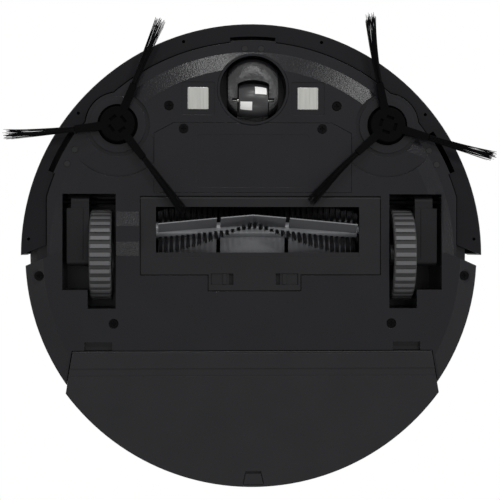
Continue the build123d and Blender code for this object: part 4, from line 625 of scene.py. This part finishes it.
def brush_row_tree():
    """Tufts in V-shaped rows around the main brush: every fibre stands on the core and points outwards."""
    lean = 0.06
    shortest = 0.9
    tip_taper = 0.6
    tree = new_tree("Main brush rows", (
        ("Rows", "NodeSocketInt"), ("Tufts", "NodeSocketInt"), ("Fibres", "NodeSocketInt"),
        ("Pitch", "NodeSocketFloat"), ("Tuft Radius", "NodeSocketFloat"),
        ("Fibre Radius", "NodeSocketFloat"), ("Fibre Length", "NodeSocketFloat"),
        ("Core Radius", "NodeSocketFloat"), ("Axis", "NodeSocketVector"),
        ("First Angle", "NodeSocketFloat"), ("Twist Per Metre", "NodeSocketFloat"),
        ("Point Place", "NodeSocketFloat"), ("Seed", "NodeSocketInt"), ("Material", "NodeSocketMaterial"),
    ))
    given = add(tree, "NodeGroupInput").outputs
    per_row = add(tree, "ShaderNodeMath", {
        0: given["Tufts"], 1: given["Fibres"],
    }, operation="MULTIPLY").outputs[0]
    count = add(tree, "ShaderNodeMath", {0: per_row, 1: given["Rows"]}, operation="MULTIPLY").outputs[0]
    index = add(tree, "GeometryNodeInputIndex").outputs[0]
    row_share = add(tree, "ShaderNodeMath", {0: index, 1: per_row}, operation="DIVIDE").outputs[0]
    row = add(tree, "ShaderNodeMath", {0: row_share}, operation="FLOOR").outputs[0]
    in_row = add(tree, "ShaderNodeMath", {0: index, 1: per_row}, operation="MODULO").outputs[0]
    tuft_share = add(tree, "ShaderNodeMath", {0: in_row, 1: given["Fibres"]}, operation="DIVIDE").outputs[0]
    tuft = add(tree, "ShaderNodeMath", {0: tuft_share}, operation="FLOOR").outputs[0]
    last = add(tree, "ShaderNodeMath", {0: given["Tufts"], 1: 1.0}, operation="SUBTRACT").outputs[0]
    middle = add(tree, "ShaderNodeMath", {0: last, 1: 0.5}, operation="MULTIPLY").outputs[0]
    step = add(tree, "ShaderNodeMath", {0: tuft, 1: middle}, operation="SUBTRACT").outputs[0]
    shift = add(tree, "ShaderNodeMath", {0: step, 1: given["Pitch"]}, operation="MULTIPLY").outputs[0]
    row_place = add(tree, "ShaderNodeCombineXYZ", {"X": shift}).outputs[0]
    on_axis = add(tree, "ShaderNodeVectorMath", {
        0: row_place, 1: given["Axis"],
    }, operation="ADD").outputs[0]
    along = add(tree, "ShaderNodeSeparateXYZ", {0: on_axis}).outputs["X"]
    from_point = add(tree, "ShaderNodeMath", {
        0: along, 1: given["Point Place"],
    }, operation="SUBTRACT").outputs[0]
    away = add(tree, "ShaderNodeMath", {0: from_point}, operation="ABSOLUTE").outputs[0]
    row_turn = add(tree, "ShaderNodeMath", {0: 2 * pi, 1: given["Rows"]}, operation="DIVIDE").outputs[0]
    lead = add(tree, "ShaderNodeMath", {
        0: row, 1: row_turn, 2: given["First Angle"],
    }, operation="MULTIPLY_ADD").outputs[0]
    angle = add(tree, "ShaderNodeMath", {
        0: away, 1: given["Twist Per Metre"], 2: lead,
    }, operation="MULTIPLY_ADD").outputs[0]
    spread = add(tree, "FunctionNodeRandomValue", {
        "Min": (-1.0, -1.0, -1.0), "Max": (1.0, 1.0, 1.0), "ID": index, "Seed": given["Seed"],
    }, data_type="FLOAT_VECTOR").outputs["Value"]
    parts = add(tree, "ShaderNodeSeparateXYZ", {0: spread}).outputs
    outward_y = add(tree, "ShaderNodeMath", {0: angle}, operation="COSINE").outputs[0]
    outward_z = add(tree, "ShaderNodeMath", {0: angle}, operation="SINE").outputs[0]
    outward = add(tree, "ShaderNodeCombineXYZ", {"Y": outward_y, "Z": outward_z}).outputs[0]
    tangent_y = add(tree, "ShaderNodeMath", {0: outward_z, 1: -1.0}, operation="MULTIPLY").outputs[0]
    tangent = add(tree, "ShaderNodeCombineXYZ", {"Y": tangent_y, "Z": outward_y}).outputs[0]
    aside = add(tree, "ShaderNodeVectorMath", {
        0: tangent, "Scale": parts["Y"],
    }, operation="SCALE").outputs[0]
    lengthways = add(tree, "ShaderNodeCombineXYZ", {"X": parts["X"]}).outputs[0]
    scatter = add(tree, "ShaderNodeVectorMath", {0: aside, 1: lengthways}, operation="ADD").outputs[0]
    offset = add(tree, "ShaderNodeVectorMath", {
        0: scatter, "Scale": given["Tuft Radius"],
    }, operation="SCALE").outputs[0]
    foot = add(tree, "ShaderNodeVectorMath", {
        0: outward, "Scale": given["Core Radius"],
    }, operation="SCALE").outputs[0]
    on_core = add(tree, "ShaderNodeVectorMath", {0: on_axis, 1: foot}, operation="ADD").outputs[0]
    place = add(tree, "ShaderNodeVectorMath", {0: on_core, 1: offset}, operation="ADD").outputs[0]
    roots = add(tree, "GeometryNodePoints", {"Count": count, "Position": place})
    leaning = add(tree, "ShaderNodeVectorMath", {0: scatter, "Scale": lean}, operation="SCALE").outputs[0]
    pointing = add(tree, "ShaderNodeVectorMath", {0: outward, 1: leaning}, operation="ADD").outputs[0]
    turned = add(tree, "FunctionNodeAlignRotationToVector", {"Vector": pointing}, axis="Z").outputs[0]
    tip_radius = add(tree, "ShaderNodeMath", {
        0: given["Fibre Radius"], 1: tip_taper,
    }, operation="MULTIPLY").outputs[0]
    fibre = add(tree, "GeometryNodeMeshCone", {
        "Vertices": FIBRE_SIDES, "Radius Top": tip_radius, "Radius Bottom": given["Fibre Radius"],
        "Depth": given["Fibre Length"],
    })
    length_seed = add(tree, "FunctionNodeIntegerMath", {
        0: given["Seed"], 1: SECOND_DRAW,
    }, operation="ADD")
    length = add(tree, "FunctionNodeRandomValue", {
        2: shortest, 3: 1.0, "ID": index, "Seed": length_seed.outputs[0],
    }, data_type="FLOAT").outputs[1]
    stretch = add(tree, "ShaderNodeCombineXYZ", {"X": 1.0, "Y": 1.0, "Z": length}).outputs[0]
    copies = add(tree, "GeometryNodeInstanceOnPoints", {
        "Points": roots.outputs[0], "Instance": fibre.outputs["Mesh"], "Rotation": turned, "Scale": stretch,
    })
    real = add(tree, "GeometryNodeRealizeInstances", {"Geometry": copies.outputs["Instances"]})
    finished = add(tree, "GeometryNodeSetMaterial", {
        "Geometry": real.outputs["Geometry"], "Material": given["Material"],
    })
    add(tree, "NodeGroupOutput", {"Geometry": finished.outputs["Geometry"]})
    return tree


class ROBOT_OT_mouldings(Operator):
    """Gives every moulding, metal piece and rubber its finish"""

    bl_idname = "robot_vacuum.mouldings"
    bl_label = "Dress Mouldings"

    # Pieces in the wheel wells and behind the side brush hubs, made near black as painted shade
    painted_shade_nodes = ("arm_pivot_pins", "suspension_springs", "side_brush_motors")

    def execute(self, context):
        for slot, material in make_finishes(context.scene.robot_colours).items():
            FINISH_NAMES[slot] = material.name
        # Black zinc plate, near black as painted shade: in the wells and round the hubs, a little less dark
        # on the screws in their counterbores
        painted_shade_plate = brushed_metal("black_zinc_painted_shade", linear("#070708"), 0.5, 0.4, 0)
        shaded_finishes = dict.fromkeys(self.painted_shade_nodes, painted_shade_plate)
        # The screws: near black as the painted shade of their counterbores, a little less dark than the
        # pivots
        shaded_finishes["screws"] = brushed_metal("black_zinc_painted_shade_screws", linear("#0f0f10"), 0.5, 0.4, 0)
        for node, piece in frame["nodes"].items():
            slot = piece.data.materials[0].name.split(".")[0]
            piece.material_slots[0].link = "OBJECT"
            piece.material_slots[0].material = shaded_finishes.get(node) or finish(slot)
        return {"FINISHED"}


class ROBOT_OT_side_brushes(Operator):
    """Grows the fibre tufts of the two side brushes"""

    bl_idname = "robot_vacuum.side_brushes"
    bl_label = "Grow Side Brushes"

    arm_count = 3
    # Sideways bend of each tuft's tip, from the first arm onwards, as the fibres were pressed in use
    tip_bends = {"left": (0.0005, 0.002, 0.0), "right": (-0.001, -0.0035, 0.003)}

    def execute(self, context):
        sizes = context.scene.robot_side_brush
        tree = side_tuft_tree()
        for side_index, side in enumerate(SIDES):
            hub = JOINT_PLACES[f"{side}_sweeper_spin"]
            tufts = []
            for arm in range(self.arm_count):
                droop = sizes.tip_height - sizes.root_height
                mesh = grow(tree, {
                    "Fibres": sizes.fibres,
                    "Fibre Radius": sizes.fibre_radius,
                    "Reach": (sizes.tuft_length, self.tip_bends[side][arm], droop),
                    "Root Half Size": (0, sizes.root_size[0] / 2, sizes.root_size[1] / 2),
                    "Tip Half Size": (0, sizes.tip_size[0] / 2, sizes.tip_size[1] / 2),
                    "Stray": sizes.stray,
                    "Seed": side_index * self.arm_count + arm,
                    "Material": finish("side_fibre"),
                })
                turn = Matrix.Rotation(sizes.arm_angles[side_index] + 2 * pi * arm / self.arm_count, 4, "Z")
                out = Matrix.Translation((sizes.root_reach, 0, 0))
                mesh.transform(Matrix.Translation((hub.x, hub.y, sizes.root_height)) @ turn @ out)
                tufts.append(mesh)
            piece = joined(f"{side}_side_fibres", tufts, finish("side_fibre"))
            seat(piece, f"{side}_side_sweeper", "side_fibre", f"{side}_side_bristles")
        return {"FINISHED"}


class ROBOT_OT_main_brush(Operator):
    """Grows the fibre tufts between the blades of the main brush"""

    bl_idname = "robot_vacuum.main_brush"
    bl_label = "Grow Main Brush"

    row_count = 3
    seed = 7

    def execute(self, context):
        sizes = context.scene.robot_main_brush
        low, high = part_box("brush_bristles")
        reach = (high.x - low.x) / 2
        axis = JOINT_PLACES["brush_spin"].copy()
        axis.x = (low.x + high.x) / 2
        mesh = grow(brush_row_tree(), {
            "Rows": self.row_count,
            "Tufts": int(2 * (reach - sizes.tuft_radius) / sizes.tuft_pitch) + 1,
            "Fibres": sizes.fibres,
            "Pitch": sizes.tuft_pitch,
            "Tuft Radius": sizes.tuft_radius,
            "Fibre Radius": sizes.fibre_radius,
            "Fibre Length": sizes.fibre_reach - sizes.core_radius,
            "Core Radius": sizes.core_radius,
            "Axis": axis,
            "First Angle": sizes.first_angle,
            "Twist Per Metre": sizes.twist * MM_PER_METRE,
            "Point Place": sizes.point_place,
            "Seed": self.seed,
            "Material": finish("brush_fibre"),
        })
        piece = joined("main_brush_fibres", [mesh], finish("brush_fibre"))
        seat(piece, "main_brush", "brush_fibre", "brush_bristles")
        return {"FINISHED"}


class ROBOT_OT_stage(Operator):
    """Sets the camera, the soft lamps, the white surround and the pale floor"""

    bl_idname = "robot_vacuum.stage"
    bl_label = "Set Stage"

    # Name, place, target, width and height in metres, and power in watts
    lamps = (
        ("under_front_left", (-0.07, -0.71, -1.0), (-0.05, -0.10, 0.0), (0.08, 0.08), 2.4),
        ("under_front_right", (0.50, -0.62, -1.0), (0.05, -0.10, 0.0), (0.24, 0.14), 2.8),
        ("under_front_low", (0.05, -1.20, -0.75), (0.0, -0.12, 0.0), (0.10, 0.10), 3.4),
        ("under_rear", (0.0, 0.85, -1.0), (0.0, 0.08, 0.0), (0.7, 0.2), 1.8),
        ("under_left", (-1.15, 0.0, -0.8), (-0.08, 0.0, 0.0), (0.5, 0.8), 2.8),
        ("under_right", (1.15, 0.0, -0.8), (0.08, 0.0, 0.0), (0.5, 0.8), 2.8),
        ("over", (-0.5, -0.8, 1.5), (0.0, 0.0, 0.05), (1.4, 1.2), 20.0),
        ("over_rear", (0.7, 1.0, 1.2), (0.0, 0.0, 0.05), (1.0, 0.8), 9.0),
    )

    def execute(self, context):
        settings = context.scene.robot_stage
        camera = bpy.data.objects.new("camera", bpy.data.cameras.new("camera"))
        camera.data.lens = settings.lens
        camera.data.sensor_width = 36.0
        camera.data.clip_start = 0.01
        # The camera looks up, with the front of the object at the top of the picture
        back = (Vector(settings.camera_place) - Vector(settings.camera_target)).normalized()
        right = Vector((0, -1, 0)).cross(back).normalized()
        turn = Matrix((right, back.cross(right), back)).transposed()
        camera.matrix_world = Matrix.Translation(settings.camera_place) @ turn.to_4x4()
        context.scene.collection.objects.link(camera)
        context.scene.camera = camera
        for name, place, target, size, power in self.lamps:
            lamp = bpy.data.lights.new(name, "AREA")
            lamp.shape = "RECTANGLE"
            lamp.size, lamp.size_y = size
            lamp.energy = power
            holder = bpy.data.objects.new(name, lamp)
            holder.location = place
            holder.rotation_euler = (Vector(target) - Vector(place)).to_track_quat("-Z", "Y").to_euler()
            context.scene.collection.objects.link(holder)
        self.surround(context, settings)
        self.floor(context, settings)
        context.scene.view_settings.view_transform = "Standard"
        return {"FINISHED"}

    def surround(self, context, settings):
        """White to the camera, to reflections and through clear pieces, and softer as a light."""
        world = bpy.data.worlds.new("white_surround")
        context.scene.world = world
        world.use_nodes = True
        tree = world.node_tree
        tree.nodes.clear()
        path = add(tree, "ShaderNodeLightPath").outputs
        seen = add(tree, "ShaderNodeMath", {
            0: path["Is Camera Ray"], 1: path["Is Glossy Ray"],
        }, operation="MAXIMUM")
        shown = add(tree, "ShaderNodeMath", {
            0: seen.outputs[0], 1: path["Is Transmission Ray"],
        }, operation="MAXIMUM")
        level = add(tree, "ShaderNodeMapRange", {
            "Value": shown.outputs[0], "To Min": settings.ambient, "To Max": 1.0,
        })
        light = add(tree, "ShaderNodeBackground", {
            "Color": (1, 1, 1, 1), "Strength": level.outputs["Result"],
        })
        add(tree, "ShaderNodeOutputWorld", {"Surface": light.outputs["Background"]})

    def floor(self, context, settings):
        """A pale floor under the wheels that is clear from below."""
        half = 3.0
        mesh = bpy.data.meshes.new("floor")
        corners = [(-half, -half, 0), (half, -half, 0), (half, half, 0), (-half, half, 0)]
        mesh.from_pydata(corners, [], [(0, 1, 2, 3)])
        floor = bpy.data.objects.new("floor", mesh)
        material = blank_material("matt_paper_floor")
        tree = material.node_tree
        matt = add(tree, "ShaderNodeBsdfDiffuse", {"Color": tuple(settings.floor)})
        clear = add(tree, "ShaderNodeBsdfTransparent")
        back = add(tree, "ShaderNodeNewGeometry").outputs["Backfacing"]
        mixed = add(tree, "ShaderNodeMixShader", {
            0: back, 1: matt.outputs["BSDF"], 2: clear.outputs["BSDF"],
        })
        add(tree, "ShaderNodeOutputMaterial", {"Surface": mixed.outputs["Shader"]})
        mesh.materials.append(material)
        context.scene.collection.objects.link(floor)
        floor.visible_diffuse = False
        floor.visible_glossy = False
        floor.visible_transmission = False
        floor.visible_shadow = False


class ROBOT_PT_finish(Panel):
    """Lists the steps that dress the robot vacuum"""

    bl_idname = "ROBOT_PT_finish"
    bl_label = "Robot Vacuum"
    bl_space_type = "VIEW_3D"
    bl_region_type = "UI"
    bl_category = "Robot Vacuum"

    def draw(self, context):
        for name, group in SETTINGS.items():
            box = self.layout.box()
            settings = getattr(context.scene, name)
            for key in group.__annotations__:
                box.prop(settings, key)
        for step in STEPS:
            self.layout.operator(step.bl_idname)


SETTINGS = {
    "robot_colours": FinishColours,
    "robot_side_brush": SideBrushSizes,
    "robot_main_brush": MainBrushSizes,
    "robot_stage": StageSettings,
}
STEPS = (ROBOT_OT_mouldings, ROBOT_OT_side_brushes, ROBOT_OT_main_brush, ROBOT_OT_stage)


def register():
    for group in SETTINGS.values():
        bpy.utils.register_class(group)
    for step in STEPS:
        bpy.utils.register_class(step)
    bpy.utils.register_class(ROBOT_PT_finish)
    for name, group in SETTINGS.items():
        setattr(bpy.types.Scene, name, PointerProperty(type=group))


def unregister():
    for name in SETTINGS:
        delattr(bpy.types.Scene, name)
    bpy.utils.unregister_class(ROBOT_PT_finish)
    for step in reversed(STEPS):
        bpy.utils.unregister_class(step)
    for group in reversed(SETTINGS.values()):
        bpy.utils.unregister_class(group)


def main():
    """Runs the steps in order."""
    register()
    bpy.ops.robot_vacuum.mouldings()
    bpy.ops.robot_vacuum.side_brushes()
    bpy.ops.robot_vacuum.main_brush()
    bpy.ops.robot_vacuum.stage()


if __name__ == "__main__":
    main()
